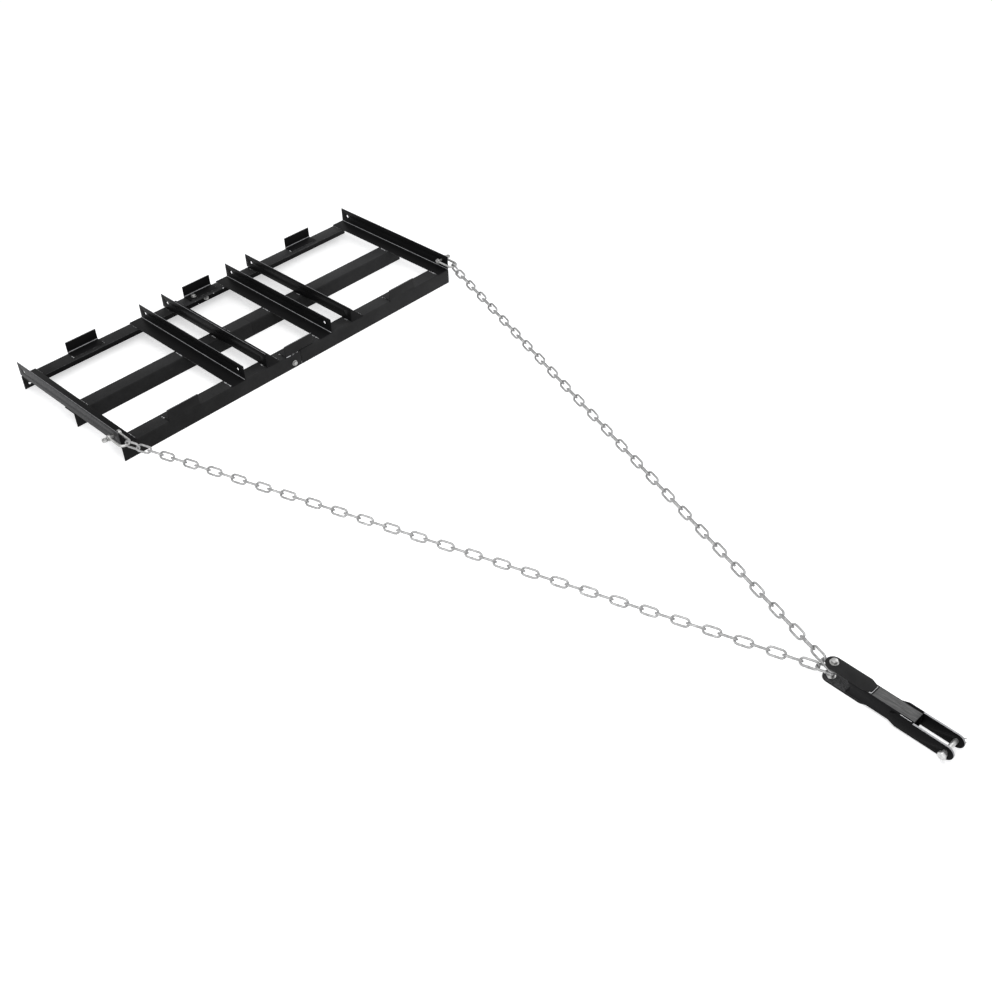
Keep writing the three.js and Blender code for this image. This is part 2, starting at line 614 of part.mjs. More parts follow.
// Side plate outline seen from the side: chamfered behind, round about the hitch pin in front
function sidePlate(side) {
  const half = PLATE_WIDTH / 2;
  const shape = new THREE.Shape();
  shape.moveTo(SIDE_PLATE_REAR + PLATE_CHAMFER_LENGTH, -half);
  shape.lineTo(HITCH_PIN_PLACE, -half);
  shape.absarc(HITCH_PIN_PLACE, 0, half, -Math.PI / 2, Math.PI / 2, false);
  shape.lineTo(SIDE_PLATE_REAR + PLATE_CHAMFER_LENGTH, half);
  shape.lineTo(SIDE_PLATE_REAR, half - PLATE_CHAMFER_WIDTH);
  shape.lineTo(SIDE_PLATE_REAR, PLATE_CHAMFER_WIDTH - half);
  const hole = new THREE.Path();
  hole.absarc(HITCH_PIN_PLACE, 0, HITCH_PIN_DIAMETER / 2 + CLEVIS_HOLE_CLEARANCE, 0, 2 * Math.PI, true);
  shape.holes.push(hole);
  const geometry = new THREE.ExtrudeGeometry(shape,
    { depth: PLATE_THICKNESS, bevelEnabled: false, curveSegments: HOLE_SIDES });
  // section u to +Y, section v to +Z, extrusion to +X
  geometry.applyMatrix4(new THREE.Matrix4().makeBasis(
    new THREE.Vector3(0, 1, 0), new THREE.Vector3(0, 0, 1), new THREE.Vector3(1, 0, 0)));
  const inner = TUBE_SIDE / 2 + SEAT_GAP;
  geometry.translate(side.sign > 0 ? inner : -inner - PLATE_THICKNESS, 0, bracketMid);
  return geometryOf(solidOf(geometry));
}

addPiece(bracket, 'bracket_tube', bracketTube(), greySteel);
addPiece(bracket, 'clevis_plate_bottom', clevisPlate(0), paint);
addPiece(bracket, 'clevis_plate_top', clevisPlate(tubeTop + SEAT_GAP), paint);
for (const side of sides) addPiece(bracket, `side_plate_${side.name}`, sidePlate(side), paint);

const clevisTop = tubeTop + SEAT_GAP + PLATE_THICKNESS + SEAT_GAP;
const clevisBolt = addPiece(bracket, 'clevis_bolt', hexBolt(CLEVIS_BOLT_DIAMETER, CLEVIS_BOLT_FLATS,
  CLEVIS_BOLT_HEAD, CLEVIS_WASHER_DIAMETER, CLEVIS_WASHER_HEIGHT, clevisTop - SEAT_GAP), zinc);
clevisBolt.position.z = clevisTop;
const clevisNut = addPiece(bracket, 'clevis_nut', hexNut(CLEVIS_BOLT_DIAMETER, CLEVIS_BOLT_FLATS,
  CLEVIS_NUT_HEIGHT, CLEVIS_WASHER_DIAMETER, CLEVIS_WASHER_HEIGHT), zinc);
clevisNut.position.z = PLATE_THICKNESS + SEAT_GAP;

// Hitch pin across the side plates: hexagon head on the right, standing off by the pin's play, and a
// tail with a cross hole on the left
const plateOuter = TUBE_SIDE / 2 + SEAT_GAP + PLATE_THICKNESS;
const tailMid = -(plateOuter + HITCH_PIN_TAIL / 2);
const clipHole = CLIP_WIRE + 2 * SEAT_GAP;

function hitchPin() {
  const headStart = plateOuter + HITCH_PIN_PLAY;
  const shaftEnd = headStart + HITCH_PIN_HEAD_LENGTH / 2;
  const tailEnd = -(plateOuter + HITCH_PIN_TAIL);
  const pinRadius = HITCH_PIN_DIAMETER / 2;
  const profile = [
    new THREE.Vector2(0, tailEnd),
    new THREE.Vector2(pinRadius - HITCH_PIN_CHAMFER, tailEnd),
    new THREE.Vector2(pinRadius, tailEnd + HITCH_PIN_CHAMFER),
    new THREE.Vector2(pinRadius, shaftEnd),
    new THREE.Vector2(0, shaftEnd),
  ];
  const shaft = new THREE.LatheGeometry(profile, ROUND_SIDES);
  shaft.rotateZ(-Math.PI / 2);
  const head = rod(HITCH_PIN_HEAD_FLATS / Math.cos(Math.PI / 6), HITCH_PIN_HEAD_LENGTH, 'x',
    headStart + HITCH_PIN_HEAD_LENGTH / 2, 0, 0, 6);
  head.rotateX(Math.PI / 6);
  const hole = rod(clipHole, 2 * HITCH_PIN_DIAMETER, 'y', tailMid, 0, 0, CLIP_SIDES * 2);
  return cut(joined([shaft, head]), [hole]);
}

// Hairpin clip in the plane across the pin's tail: straight leg through the hole, loop behind,
// outer leg over the pin with its tip turned away
function hairpinClip() {
  const lift = HITCH_PIN_DIAMETER / 2 + CLIP_WIRE / 2 + SEAT_GAP;
  const loopMid = (lift + CLIP_LOOP) / 2;
  const points = [
    [CLIP_LEG, 0], [CLIP_LEG / 2, 0], [0, 0], [-CLIP_BACK / 2, 0], [-CLIP_BACK, 0],
    [-CLIP_BACK - CLIP_LOOP / 2, loopMid / 3], [-CLIP_BACK - CLIP_LOOP * 2 / 3, loopMid],
    [-CLIP_BACK - CLIP_LOOP / 3, lift + CLIP_FLARE / 3], [-CLIP_BACK / 2, lift + CLIP_FLARE / 3],
    [0, lift], [CLIP_LEG / 2, lift + CLIP_FLARE / 3], [CLIP_LEG * 0.9, lift + CLIP_FLARE],
  ].map(([y, z]) => new THREE.Vector3(0, y, z));
  const path = new THREE.CatmullRomCurve3(points);
  const section = new THREE.Shape(Array.from({ length: CLIP_SIDES }, (unused, i) => {
    const turn = 2 * Math.PI * i / CLIP_SIDES;
    return new THREE.Vector2(Math.cos(turn) * CLIP_WIRE / 2, Math.sin(turn) * CLIP_WIRE / 2);
  }));
  const geometry = new THREE.ExtrudeGeometry(section, { steps: CLIP_STEPS, extrudePath: path, bevelEnabled: false });
  return geometryOf(solidOf(geometry));
}

const pin = addPiece(bracket, 'hitch_pin', hitchPin(), zinc);
pin.position.set(0, HITCH_PIN_PLACE, bracketMid);
const clip = addPiece(bracket, 'hairpin_clip', hairpinClip(), zinc);
clip.position.set(tailMid, HITCH_PIN_PLACE, bracketMid);

const span = new THREE.Box3().setFromObject(drag, true);
drag.position.y = -(span.min.y + span.max.y) / 2;

export default harrow;
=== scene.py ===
import json
import logging
import math
from dataclasses import dataclass, field
from enum import Enum
from typing import Callable, Iterable, Optional, Sequence, Union

import bmesh
import bpy
from mathutils import Euler, Matrix, Vector


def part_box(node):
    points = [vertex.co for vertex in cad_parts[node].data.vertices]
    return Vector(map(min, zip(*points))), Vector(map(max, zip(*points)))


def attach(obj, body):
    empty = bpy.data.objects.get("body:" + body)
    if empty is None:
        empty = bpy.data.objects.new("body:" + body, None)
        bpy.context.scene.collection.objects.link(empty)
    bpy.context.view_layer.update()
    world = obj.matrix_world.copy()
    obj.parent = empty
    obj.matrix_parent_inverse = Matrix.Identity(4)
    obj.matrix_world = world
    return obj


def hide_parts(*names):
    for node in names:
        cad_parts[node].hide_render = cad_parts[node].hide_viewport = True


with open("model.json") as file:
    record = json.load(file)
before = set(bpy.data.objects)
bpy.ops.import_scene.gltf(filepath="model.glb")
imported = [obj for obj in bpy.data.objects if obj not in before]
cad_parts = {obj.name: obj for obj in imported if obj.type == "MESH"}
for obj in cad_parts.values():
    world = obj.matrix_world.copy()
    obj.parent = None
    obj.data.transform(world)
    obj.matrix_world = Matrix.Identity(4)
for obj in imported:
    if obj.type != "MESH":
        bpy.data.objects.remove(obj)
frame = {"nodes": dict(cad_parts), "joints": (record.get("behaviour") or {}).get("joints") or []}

LOG = logging.getLogger("harrow")
MM = 0.001
# Mark of worn edges, and of painted highlights on bends, upright tops and rims and of the tube's painted
# sheen.
WEAR_AND_PAINTED_LIGHT = "wear"
# Mark of the satin coat, and of a painted sheen that lightens the paint's colour.
GLOSS_AND_SHEEN = "gloss"
MERGE = 1e-6
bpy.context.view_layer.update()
JOINTS = {joint["name"]: joint for joint in frame["joints"]}
Colour = tuple[float, float, float, float]
Material = bpy.types.Material
Spot = Sequence[float]


def hinge(name: str) -> Vector:
    """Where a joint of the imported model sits."""
    return Vector(JOINTS[name]["pos_m"])


def once(things: Iterable) -> list:
    """Each thing once, in the order in which it comes."""
    return list(dict.fromkeys(things))


class Axis(Enum):
    """A row axis that a round shape lies along."""

    X = Matrix.Rotation(math.pi / 2, 4, "Y")
    Y = Matrix.Rotation(-math.pi / 2, 4, "X")
    Z = Matrix.Identity(4)


class Side(Enum):
    """The two sides of the harrow as seen from behind."""

    RIGHT = 1
    LEFT = -1

    @property
    def word(self) -> str:
        """The side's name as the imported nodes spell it."""
        return self.name.lower()


class Slot(Enum):
    """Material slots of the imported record."""

    PAINT = "black_paint"
    GREY = "grey_steel"
    ZINC = "zinc"


class Flow:
    """A shader socket that takes part in Python expressions."""

    def __init__(self, desk: "NodeDesk", socket: bpy.types.NodeSocket) -> None:
        """Wraps a socket of the desk's tree."""
        self.desk = desk
        self.socket = socket

    def _with(self, operation: str, first: object, second: object) -> "Flow":
        """Adds a Math node of the given operation on two Flows or numbers."""
        return self.desk.node("ShaderNodeMath", {"operation": operation}, {0: first, 1: second})

    @staticmethod
    def operator(operation: str, swapped: bool = False) -> Callable[["Flow", object], "Flow"]:
        """A method for an operator sign, or for its reflected form."""
        if swapped:
            return lambda self, other: self._with(operation, other, self)
        return lambda self, other: self._with(operation, self, other)

    __add__ = __radd__ = operator("ADD")
    __mul__ = __rmul__ = operator("MULTIPLY")
    __sub__ = operator("SUBTRACT")
    __rsub__ = operator("SUBTRACT", True)
    __truediv__ = operator("DIVIDE")

    def band(self, low: float, high: float) -> "Flow":
        """Smooth step of this value from 0 at the low one to 1 at the high one."""
        return self.desk.node("ShaderNodeMapRange", {"interpolation_type": "SMOOTHSTEP"},
                              {"Value": self, "From Min": low, "From Max": high})


class NodeDesk:
    """The node tree of a material or world, with one method that makes every node."""

    def __init__(self, owner: Union[Material, bpy.types.World]) -> None:
        """Starts an empty tree on a material or world."""
        owner.use_nodes = True
        self.owner = owner
        self.tree = owner.node_tree
        self.tree.nodes.clear()

    def node(self, kind: str, settings: Optional[dict] = None, inputs: Optional[dict] = None,
             output: Union[int, str, None] = 0) -> Optional[Flow]:
        """Makes one node.

        Args:
            kind: Blender's node type.
            settings: Attributes that are set first.
            inputs: Socket values or Flows, by name or number.
            output: The socket that is handed back, or None for a node without one.

        Returns:
            The chosen output as a Flow.
        """
        made = self.tree.nodes.new(kind)
        for key, value in (settings or {}).items():
            setattr(made, key, value)
        for key, value in (inputs or {}).items():
            if isinstance(value, Flow):
                self.tree.links.new(value.socket, made.inputs[key])
            else:
                made.inputs[key].default_value = value
        return None if output is None else Flow(self, made.outputs[output])

    def place(self) -> Flow:
        """Object coordinates, in metres."""
        return self.node("ShaderNodeTexCoord", output="Object")

    def noise(self, scale: float, detail: float = 2.0, roughness: float = 0.5,
              where: Optional[Flow] = None) -> Flow:
        """Noise of 0 to 1, its scale in waves per metre, on the object's coordinates or on others."""
        return self.node("ShaderNodeTexNoise", None,
                         {"Vector": where or self.place(), "Scale": scale, "Detail": detail,
                          "Roughness": roughness})

    def mask(self, name: str) -> Flow:
        """A mark that the mesh carries, 0 to 1."""
        return self.node("ShaderNodeAttribute", {"attribute_name": name}, output="Fac")

    def mix(self, factor: object, first: object, second: object) -> Flow:
        """Mix of two colours, all of the first at 0 and all of the second at 1."""
        return self.node("ShaderNodeMix", {"data_type": "RGBA"}, {0: factor, 6: first, 7: second}, 2)

    def bump(self, height: Flow, strength: float, distance: float) -> Flow:
        """Normal that a height field bends, by a strength of 0 to 1 and a depth in metres."""
        return self.node("ShaderNodeBump", None,
                         {"Height": height, "Strength": strength, "Distance": distance})

    def seen(self) -> Flow:
        """1 for rays that show the background: camera, glossy and transmission rays."""
        kinds = ("Is Camera Ray", "Is Glossy Ray", "Is Transmission Ray")
        camera, glossy, through = (self.node("ShaderNodeLightPath", output=kind) for kind in kinds)
        return camera + glossy + through

    def principled(self, **inputs: object) -> Material:
        """Ends the tree with a Principled shader.

        Args:
            inputs: Socket values or Flows, by name with underscores for spaces.

        Returns:
            The finished material.
        """
        named = {key.replace("_", " "): value for key, value in inputs.items()}
        shader = self.node("ShaderNodeBsdfPrincipled", None, named)
        self.node("ShaderNodeOutputMaterial", None, {"Surface": shader}, None)
        return self.owner


def rgb(red: float, green: Optional[float] = None, blue: Optional[float] = None) -> Colour:
    """A colour with full alpha, a grey where one number stands alone."""
    return (red, red if green is None else green, red if blue is None else blue, 1.0)


@dataclass(frozen=True)
class Finish:
    """A material by name. Each kind says how its nodes are laid.

    Patterns are held as waves per metre, octaves and roughness, bands as their low and high ends.
    """

    name: str

    def make(self) -> Material:
        """Builds the material."""
        return self.shade(NodeDesk(bpy.data.materials.new(self.name)))

    def shade(self, desk: NodeDesk) -> Material:
        """Lays the nodes on an empty desk."""
        raise NotImplementedError


@dataclass(frozen=True)
class PaintFinish(Finish):
    """Satin enamel on pressed steel: worn cut edges with painted highlights on bends and upright tops, dust
    clouds and a painted lightening towards the left end.
    """

    colour: Colour = rgb(0.0045, 0.0045, 0.0048)
    dusty: Colour = rgb(0.0075, 0.0075, 0.0078)
    bare: Colour = rgb(0.36, 0.36, 0.37)
    scuff: Colour = rgb(0.035, 0.035, 0.036)
    reach: float = 1.5
    roughness: float = 0.36
    specular: float = 0.035
    gloss: float = 0.12
    clouds: Spot = (9.0, 5.0, 0.65)
    patches: Spot = (85.0, 5.0, 0.72)
    scuffs: Spot = (34.0, 6.0, 0.75)
    grain: Spot = (240.0, 4.0, 0.7)
    peel: Spot = (420.0, 3.0, 0.6)
    pits: Spot = (1500.0, 2.0)

    def shade(self, desk: NodeDesk) -> Material:
        """Lays dust, a painted lightening towards the left end, worn edges with painted highlights and scuffs
        over the paint, and a painted sheen where marked.

        Args:
            desk: The empty desk.

        Returns:
            The finished material.
        """
        clouds = desk.noise(*self.clouds)
        across = desk.node("ShaderNodeSeparateXYZ", None, {0: desk.place()}, "X")
        # Dust clouds, plus a painted lightening towards -X that stands in for lamp light on the left end.
        dust_and_light = clouds.band(0.3, 0.8) * 0.4 + (across * -1.0 / self.reach + 0.5) * 0.6
        # Worn edges, and painted highlights on bends, upright tops and rims, turned towards bare steel.
        rubbed_and_highlit = (desk.mask(WEAR_AND_PAINTED_LIGHT) * 1.25 + desk.noise(*self.patches) * 0.7 - 0.6).band(0.1, 0.9)
        scuffs = desk.noise(*self.scuffs).band(0.64, 0.80)
        scuffed = desk.mix(scuffs * 0.35, desk.mix(dust_and_light, self.colour, self.dusty), self.scuff)
        # Painted sheen: a lighter colour on the marked faces.
        painted_sheen = desk.mask(GLOSS_AND_SHEEN) * (desk.noise(*self.grain).band(0.32, 0.68) * 0.14 + clouds * 0.03)
        height = desk.noise(*self.peel) * 0.6 + desk.noise(*self.pits) * 0.4
        return desk.principled(
            Base_Color=desk.mix(rubbed_and_highlit, desk.mix(painted_sheen, scuffed, self.bare), self.bare),
            Metallic=rubbed_and_highlit * 0.4, Roughness=self.roughness + clouds * 0.10 + scuffs * 0.2,
            Specular_IOR_Level=self.specular, Coat_Weight=desk.mask(GLOSS_AND_SHEEN) * self.gloss,
            Coat_Roughness=0.5, Normal=desk.bump(height, 0.12, 0.0004))


@dataclass(frozen=True)
class WeldFinish(Finish):
    """Short welds, their paint burnt and chipped so that bright steel shows in spots."""

    dark: Colour = rgb(0.012)
    bright: Colour = rgb(0.55, 0.55, 0.56)
    share: float = 0.47
    chips: Spot = (210.0, 3.0, 0.6)
    ripple: Spot = (600.0, 3.0)

    def shade(self, desk: NodeDesk) -> Material:
        """Lays bright chips on dark weld metal.

        Args:
            desk: The empty desk.

        Returns:
            The finished material.
        """
        low = 1.0 - self.share
        chipped = desk.noise(*self.chips).band(low, low + 0.10)
        return desk.principled(
            Base_Color=desk.mix(chipped, self.dark, self.bright), Metallic=chipped * 0.4,
            Roughness=0.5 - chipped * 0.12, Specular_IOR_Level=0.3,
            Normal=desk.bump(desk.noise(*self.ripple), 0.3, 0.0006))


@dataclass(frozen=True)
class ZincFinish(Finish):
    """Zinc coat, either hot dipped with a frosted spangle or plated and brighter."""

    light: Colour = rgb(0.45)
    dark: Colour = rgb(0.23)
    roughness: float = 0.42
    spangle: float = 150.0
    metallic: float = 0.65
    stains: Spot = (70.0, 4.0, 0.65)
    frost: Spot = (900.0, 3.0)

    def shade(self, desk: NodeDesk) -> Material:
        """Lays crystal flakes and dull stains on the zinc.

        Args:
            desk: The empty desk.

        Returns:
            The finished material.
        """
        cells = desk.node("ShaderNodeTexVoronoi", None,
                          {"Vector": desk.place(), "Scale": self.spangle}, "Color")
        flake = desk.node("ShaderNodeSeparateColor", None, {"Color": cells}, "Red")
        dull = desk.noise(*self.stains)
        tone = flake * 0.35 + dull.band(0.3, 0.75) * 0.65
        return desk.principled(
            Base_Color=desk.mix(tone, self.dark, self.light),
            Roughness=self.roughness + dull * 0.16 - flake * 0.06, Metallic=self.metallic,
            Normal=desk.bump(desk.noise(*self.frost), 0.15, 0.0003))


@dataclass(frozen=True)
class MillFinish(Finish):
    """Drawn steel of the tube: grey with drawn streaks on top and below, partly scuffed steel and partly a
    painted sheen, painted black on the cheeks.
    """

    light: Colour = rgb(0.135)
    dark: Colour = rgb(0.055)
    cheek: Colour = rgb(0.008, 0.008, 0.0085)
    roughness: float = 0.44
    draw: float = 0.06
    lines: Spot = (500.0, 3.0, 0.6)
    streaks: Spot = (420.0, 5.0, 0.7)

    def shade(self, desk: NodeDesk) -> Material:
        """Lays drawn streaks and a painted sheen on the marked top and bottom faces and paint on the others.

        Args:
            desk: The empty desk.

        Returns:
            The finished material.
        """
        drawn = desk.node("ShaderNodeMapping", None,
                          {"Vector": desk.place(), "Scale": (1.0, self.draw, 1.0)})
        lines = desk.noise(*self.lines, drawn)
        # The marked top and bottom take the grey streaked finish, partly a painted sheen.
        top = desk.mask(WEAR_AND_PAINTED_LIGHT).band(0.1, 0.4)
        streaked_sheen = desk.mix(desk.noise(*self.streaks, drawn).band(0.3, 0.7), self.dark, self.light)
        return desk.principled(
            Base_Color=desk.mix(top, self.cheek, streaked_sheen), Roughness=self.roughness + lines * 0.14,
            Metallic=top * 0.35, Specular_IOR_Level=0.05, Normal=desk.bump(lines, 0.15, 0.0003))


@dataclass(frozen=True)
class FloorFinish(Finish):
    """Pale studio floor that stays white to the camera and keeps a soft shadow."""

    name: str = "studio_floor"
    albedo: float = 0.8
    lift: float = 0.5

    def shade(self, desk: NodeDesk) -> Material:
        """Lays the pale floor, which glows only where it is seen."""
        return desk.principled(Base_Color=rgb(self.albedo), Roughness=0.9, Emission_Strength=self.lift,
                               Emission_Color=desk.mix(desk.seen(), rgb(0), rgb(1)))


class Solid:
    """A shape under work, held in one bmesh."""

    def __init__(self) -> None:
        """Starts empty."""
        self.bm = bmesh.new()

    def add_rod(self, radius: float, low: float, high: float, axis: Axis = Axis.Z,
                centre: Spot = (0, 0, 0), segments: int = 32, chamfer: float = 0.0,
                tip: Optional[float] = None) -> "Solid":
        """Adds a closed round bar.

        Args:
            radius: Radius at the low end.
            low: Start along the axis from the centre.
            high: End along the axis.
            axis: Direction of the bar.
            centre: Point that the bar is set about.
            segments: Sides.
            chamfer: Bevel of both rims.
            tip: Radius at the high end, if it tapers.

        Returns:
            This solid.
        """
        made = bmesh.ops.create_cone(self.bm, cap_ends=True, segments=segments, radius1=radius,
                                     radius2=radius if tip is None else tip, depth=high - low)
        verts = made["verts"]
        move = Matrix.Translation(centre) @ axis.value @ Matrix.Translation((0, 0, (low + high) / 2))
        bmesh.ops.transform(self.bm, matrix=move, verts=verts)
        if chamfer > 0:
            caps = once(f for v in verts for f in v.link_faces if len(f.verts) > 4)
            self.bevel(once(e for f in caps for e in f.edges), chamfer, 2)
        return self

    def add_ring(self, profile: Sequence[tuple[float, float]], axis: Axis = Axis.Z,
                 centre: Spot = (0, 0, 0), steps: int = 40) -> "Solid":
        """Adds a turned shape.

        Args:
            profile: Outline as radius and height pairs. It is closed, or ends on the axis at both ends.
            axis: Axis that it is turned about.
            centre: Point on the axis that heights count from.
            steps: Steps of the full turn.

        Returns:
            This solid.
        """
        before = set(self.bm.verts)
        verts = [self.bm.verts.new((r, 0.0, h)) for r, h in profile]
        pairs = list(zip(verts, verts[1:]))
        if profile[0][0] > 0:
            pairs.append((verts[-1], verts[0]))
        edges = [self.bm.edges.new(pair) for pair in pairs]
        bmesh.ops.spin(self.bm, geom=verts + edges, cent=(0, 0, 0), axis=(0, 0, 1), dvec=(0, 0, 0),
                       angle=math.tau, steps=steps, use_merge=True, use_duplicate=False)
        turned = [v for v in self.bm.verts if v not in before]
        bmesh.ops.remove_doubles(self.bm, verts=turned, dist=MERGE)
        turned = [v for v in self.bm.verts if v not in before]
        bmesh.ops.transform(self.bm, matrix=Matrix.Translation(centre) @ axis.value, verts=turned)
        faces = once(f for v in turned for f in v.link_faces)
        bmesh.ops.recalc_face_normals(self.bm, faces=faces)
        return self

    def add_plate(self, outline: Sequence[tuple[float, float]], low: float, high: float) -> "Solid":
        """Adds a flat plate or a straight section.

        Args:
            outline: Corner points in the plane, in order.
            low: Underside height.
            high: Top height.

        Returns:
            This solid.
        """
        verts = [self.bm.verts.new((x, y, low)) for x, y in outline]
        edges = [self.bm.edges.new(pair) for pair in zip(verts, verts[1:] + verts[:1])]
        face = bmesh.ops.edgeloop_fill(self.bm, edges=edges)["faces"][0]
        top = self.grow(face).verts[:]
        bmesh.ops.translate(self.bm, vec=(0, 0, high - low), verts=top)
        faces = once(f for v in verts + top for f in v.link_faces)
        bmesh.ops.recalc_face_normals(self.bm, faces=faces)
        return self

    def add_wire(self, path: Sequence[Vector], radius: float, sides: int = 8,
                 shares: Optional[Sequence[float]] = None) -> "Solid":
        """Adds a round bar that follows a path.

        Args:
            path: Points along its middle.
            radius: Radius.
            sides: Sides.
            shares: Share of the radius at each point, or None for all of it.

        Returns:
            This solid.
        """
        sizes = list(shares or [1.0] * len(path))
        last = len(path) - 1
        ways = [(path[min(i + 1, last)] - path[max(i - 1, 0)]).normalized() for i in range(len(path))]
        made = bmesh.ops.create_circle(self.bm, cap_ends=True, segments=sides, radius=radius * sizes[0])
        turn = ways[0].to_track_quat("Z", "Y").to_matrix().to_4x4()
        bmesh.ops.transform(self.bm, matrix=Matrix.Translation(path[0]) @ turn, verts=made["verts"])
        face = made["verts"][0].link_faces[0]
        for i in range(1, len(path)):
            face = self.grow(face)
            turn = ways[i - 1].rotation_difference(ways[i]).to_matrix().to_4x4()
            size = Matrix.Scale(sizes[i] / sizes[i - 1], 4)
            move = Matrix.Translation(path[i]) @ turn @ size @ Matrix.Translation(-path[i - 1])
            bmesh.ops.transform(self.bm, matrix=move, verts=face.verts[:])
        bmesh.ops.recalc_face_normals(self.bm, faces=self.bm.faces[:])
        return self

    def grow(self, face: bmesh.types.BMFace) -> bmesh.types.BMFace:
        """Extrudes one face in place, with no wall left inside, and hands back its new cap."""
        grown = bmesh.ops.extrude_face_region(self.bm, geom=[face, *face.edges])
        return next(g for g in grown["geom"] if isinstance(g, bmesh.types.BMFace))

    def bevel(self, edges: Iterable[bmesh.types.BMEdge], offset: float, segments: int) -> list:
        """Rounds edges.

        Args:
            edges: Edges to round.
            offset: Width of the rounding.
            segments: Its segments.

        Returns:
            The new faces.
        """
        made = bmesh.ops.bevel(self.bm, geom=list(edges), offset=offset, offset_type="OFFSET",
                               segments=segments, profile=0.5, affect="EDGES", material=-1,
                               clamp_overlap=True)
        return made["faces"]

    def soften(self, offset: float, segments: int = 2, angle: float = 50.0, worn: float = 1.0) -> "Solid":
        """Rounds every sharp edge and marks the roundings as worn.

        Args:
            offset: Width of the rounding.
            segments: Its segments.
            angle: Least angle between two faces, in degrees, that counts as sharp.
            worn: Wear of the roundings, from 0 to 1.

        Returns:
            This solid.
        """
        bmesh.ops.dissolve_limit(self.bm, angle_limit=math.radians(1.0), verts=self.bm.verts[:],
                                 edges=self.bm.edges[:])
        sharp = [e for e in self.bm.edges
                 if len(e.link_faces) == 2 and e.calc_face_angle(0.0) > math.radians(angle)]
        return self.mark(self.bevel(sharp, offset, segments), worn)

    def mark(self, faces: Iterable[bmesh.types.BMFace], value: float, name: str = WEAR_AND_PAINTED_LIGHT) -> "Solid":
        """Notes on faces how worn or highlit they are, or how much painted sheen they carry.

        Args:
            faces: Faces to mark.
            value: Share, with 1 for all of it.
            name: Which of the two marks.

        Returns:
            This solid.
        """
        layer = self.bm.loops.layers.float.get(name) or self.bm.loops.layers.float.new(name)
        for face in faces:
            for loop in face.loops:
                loop[layer] = value
        return self

    def move(self, matrix: Matrix) -> "Solid":
        """Moves the whole shape; a mirroring matrix has its faces turned out again."""
        bmesh.ops.transform(self.bm, matrix=matrix, verts=self.bm.verts[:])
        if matrix.to_3x3().determinant() < 0:
            bmesh.ops.reverse_faces(self.bm, faces=self.bm.faces[:])
        return self

    def join(self, other: "Solid") -> "Solid":
        """Takes another solid in as a further closed shell."""
        mesh = bpy.data.meshes.new("joined")
        other.bm.to_mesh(mesh)
        self.bm.from_mesh(mesh)
        bpy.data.meshes.remove(mesh)
        other.bm.free()
        return self

    def combine(self, other: "Solid", operation: str) -> "Solid":
        """Unites this shape with another, cuts the other out of it or keeps what both share.

        Args:
            other: The second shape, which is used up.
            operation: UNION, DIFFERENCE or INTERSECT.

        Returns:
            This solid.
        """
        things = []
        for solid in (self, other):
            bmesh.ops.recalc_face_normals(solid.bm, faces=solid.bm.faces[:])
            mesh = bpy.data.meshes.new("work")
            solid.bm.to_mesh(mesh)
            thing = bpy.data.objects.new("work", mesh)
            bpy.context.scene.collection.objects.link(thing)
            things.append(thing)
        change = things[0].modifiers.new("cut", "BOOLEAN")
        change.operation = operation
        change.solver = "EXACT"
        change.object = things[1]
        depsgraph = bpy.context.evaluated_depsgraph_get()
        result = bpy.data.meshes.new_from_object(things[0].evaluated_get(depsgraph))
        self.bm.free()
        other.bm.free()
        self.bm = bmesh.new()
        self.bm.from_mesh(result)
        for thing in things:
            mesh = thing.data
            bpy.data.objects.remove(thing)
            bpy.data.meshes.remove(mesh)
        bpy.data.meshes.remove(result)
        return self

    def piece(self, name: str, material: Material, body: str, slot: Slot,
              nodes: Sequence[str] = (), smooth: float = 40.0) -> bpy.types.Object:
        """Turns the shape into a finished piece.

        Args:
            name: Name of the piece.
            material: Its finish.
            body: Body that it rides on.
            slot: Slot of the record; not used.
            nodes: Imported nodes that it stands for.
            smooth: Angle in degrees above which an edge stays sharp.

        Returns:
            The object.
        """
        mesh = bpy.data.meshes.new(name)
        self.bm.to_mesh(mesh)
        self.bm.free()
        mesh.shade_smooth()
        mesh.set_sharp_from_angle(angle=math.radians(smooth))
        thing = bpy.data.objects.new(name, mesh)
        bpy.context.scene.collection.objects.link(thing)
        mesh.materials.append(material)
        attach(thing, body)
        if nodes:
            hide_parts(*nodes)
        LOG.info("%s: %d faces on %s", name, len(mesh.polygons), body)
        return thing


def look(finish: Finish) -> Material:
    """A palette entry that is made when a palette is."""
    return field(default_factory=finish.make)


@dataclass
class Palette:
    """Every finish of the harrow, made once."""

    paint: Material = look(PaintFinish("black_enamel"))
    rail_paint: Material = look(PaintFinish("black_enamel_rails", colour=rgb(0.012), specular=0.03,
                                            dusty=rgb(0.034, 0.034, 0.0345)))
    weld: Material = look(WeldFinish("chipped_weld", share=0.54))
    dull_weld: Material = look(WeldFinish("dull_weld", bright=rgb(0.16), share=0.5))
    bracket_weld: Material = look(WeldFinish("bright_weld", share=0.72))
    grey: Material = look(MillFinish("mill_steel"))
    chain: Material = look(ZincFinish("hot_dip_zinc"))
    plated: Material = look(ZincFinish("plated_zinc", light=rgb(0.52, 0.52, 0.515), metallic=0.85,
                                       dark=rgb(0.26, 0.26, 0.255), roughness=0.32, spangle=400.0))
    bright: Material = look(ZincFinish("bright_zinc", light=rgb(0.74, 0.74, 0.735), metallic=0.85,
                                       dark=rgb(0.42, 0.42, 0.415), roughness=0.3, spangle=400.0))


